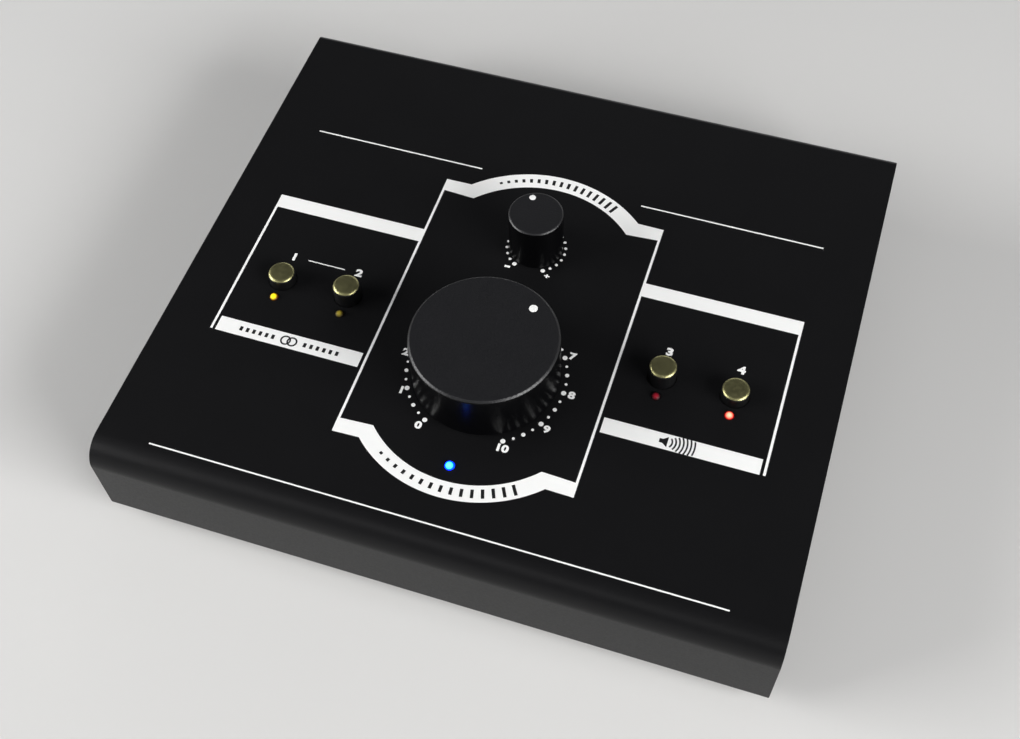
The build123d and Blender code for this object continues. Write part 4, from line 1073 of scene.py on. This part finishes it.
# ----------------------------------------------------------------------------
# Two 25-way D connectors: pressed and tinned steel shells over moulded insulators with gilt
# contacts, clamped to the rear panel by hexagon jackscrews.
# ----------------------------------------------------------------------------
# Tin plate: pale grey metal with a soft, slightly cloudy shine.
tin_plate = finish(
    "tin_plated_steel", ("#b4b5b3", "#c4c5c3"), (0.28, 0.4), metallic=1.0, grain=0.9, depth=0.004, patch=5
)
coat(tin_plate, "dsub_shell_1", "dsub_shell_2")
# Gilt contacts: a thin bright gold flash on brass.
gilt = finish("gilt_brass_contact", ("#d9ac50", "#e6bd66"), (0.15, 0.25), metallic=1.0, grain=0.3, patch=1)
contact_pitch = 2.76 * MM
contact_row_pitch = 2.84 * MM
for number in (1, 2):
    low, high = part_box(f"dsub_shell_{number}")
    centre_x = (low.x + high.x) / 2
    centre_z = (low.z + high.z) / 2
    face_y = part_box(f"dsub_insulator_{number}")[1].y
    places = [
        (centre_x + contact_pitch * (i - 6), face_y, centre_z + contact_row_pitch / 2) for i in range(13)
    ] + [
        (centre_x + contact_pitch * (i - 5.5), face_y, centre_z - contact_row_pitch / 2) for i in range(12)
    ]
    bm = bmesh.new()
    sleeve = [
        (0.34 * MM, -0.2 * MM), (0.48 * MM, -0.15 * MM), (0.58 * MM, -0.3 * MM), (0.58 * MM, -3.8 * MM),
        (0.34 * MM, -3.8 * MM), (0.34 * MM, -0.2 * MM),
    ]
    lathe(bm, sleeve, segments=16)
    bmesh.ops.remove_doubles(bm, verts=bm.verts, dist=1e-8)
    contact = object_from(bm, "template", gilt)
    contacts = generate(
        repeat_tree, f"gilt_contacts_{number}", places,
        {"Template": contact, "Axis": (0, 1, 0), "Finish": gilt}, 50,
    )
    bpy.data.objects.remove(contact)
    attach(contacts, "case")


# ----------------------------------------------------------------------------
# Rear marks: white screen ink on the coated panel, plain numbers under the sockets and the
# connectors, the sign for a centre-positive plug, and a bar and a ring on the rocker.
# ----------------------------------------------------------------------------
def onto_face(origin, normal):
    """Matrix that takes what is printed on the top to an upright face, as seen from outside."""
    right = Vector((0, 0, 1)).cross(normal)
    turn = Matrix((right, (0, 0, 1), normal)).transposed().to_4x4()
    return Matrix.Translation(origin) @ turn @ Matrix.Translation((0, 0, -top_z))


printed = []
rear = onto_face((0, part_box("rear_panel")[1].y, 0), Vector((0, 1, 0)))
mark_z = 11.0
for i in (1, 2, 3):
    printed_text(f"jack_numeral_{i}", str(i), 2.6, -middle(f"jack_{i}").x / MM, mark_z, rear)
for i in (1, 2):
    printed_text(f"dsub_numeral_{i}", str(i), 2.6, -middle(f"dsub_shell_{i}").x / MM, mark_z, rear)
bm = bmesh.new()
inlet_x = -middle("dc_inlet").x / MM
print_arc(bm, inlet_x, mark_z, 1.3, 0.4, 40, 320, 0)
print_shape(bm, arc_points((inlet_x, mark_z), 0.5, 0, 330, 11))
for side in (-1, 1):
    print_bar(bm, *sorted((inlet_x + side * 1.9, inlet_x + side * 2.9)), mark_z - 0.2, mark_z + 0.2)
    print_arc(bm, inlet_x + side * 4.0, mark_z, 1.1, 0.3, 0, 360, 0)
    print_bar(bm, inlet_x + side * 4.0 - 0.6, inlet_x + side * 4.0 + 0.6, mark_z - 0.18, mark_z + 0.18)
print_bar(bm, inlet_x + 3.82, inlet_x + 4.18, mark_z - 0.6, mark_z + 0.6, over_line)
bmesh.ops.transform(bm, matrix=rear, verts=bm.verts)
printed.append(object_from(bm, "inlet_polarity_sign", white_ink))
for piece in printed:
    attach(piece, "case")

# The rocker rests with its bar side pressed in; each half of its face leans from the middle.
rocker_axis = Vector((90.51 * MM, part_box("rear_panel")[1].y + 0.5 * MM, middle("power_rocker").z))
rocker_turn = Matrix.Rotation(math.radians(8), 4, "Z")
rocker_lean = math.radians(8)
for side, name in ((-1, "rocker_bar_sign"), (1, "rocker_ring_sign")):
    along = Vector((side * math.cos(rocker_lean), math.sin(rocker_lean), 0))
    normal = rocker_turn.to_3x3() @ Vector((-side * math.sin(rocker_lean), math.cos(rocker_lean), 0))
    origin = rocker_axis + rocker_turn.to_3x3() @ (Vector((0, 1.0 * MM, 0)) + along * 3.9 * MM)
    bm = bmesh.new()
    if side < 0:
        print_bar(bm, -0.35, 0.35, -1.6, 1.6)
    else:
        print_arc(bm, 0, 0, 1.35, 0.55, 0, 360, 0)
    bmesh.ops.transform(bm, matrix=onto_face(origin, normal), verts=bm.verts)
    sign = object_from(bm, name, white_ink)
    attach(sign, "power_rocker")


# ----------------------------------------------------------------------------
# The box of what is dressed, over its shown meshes.
# ----------------------------------------------------------------------------
low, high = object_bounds()
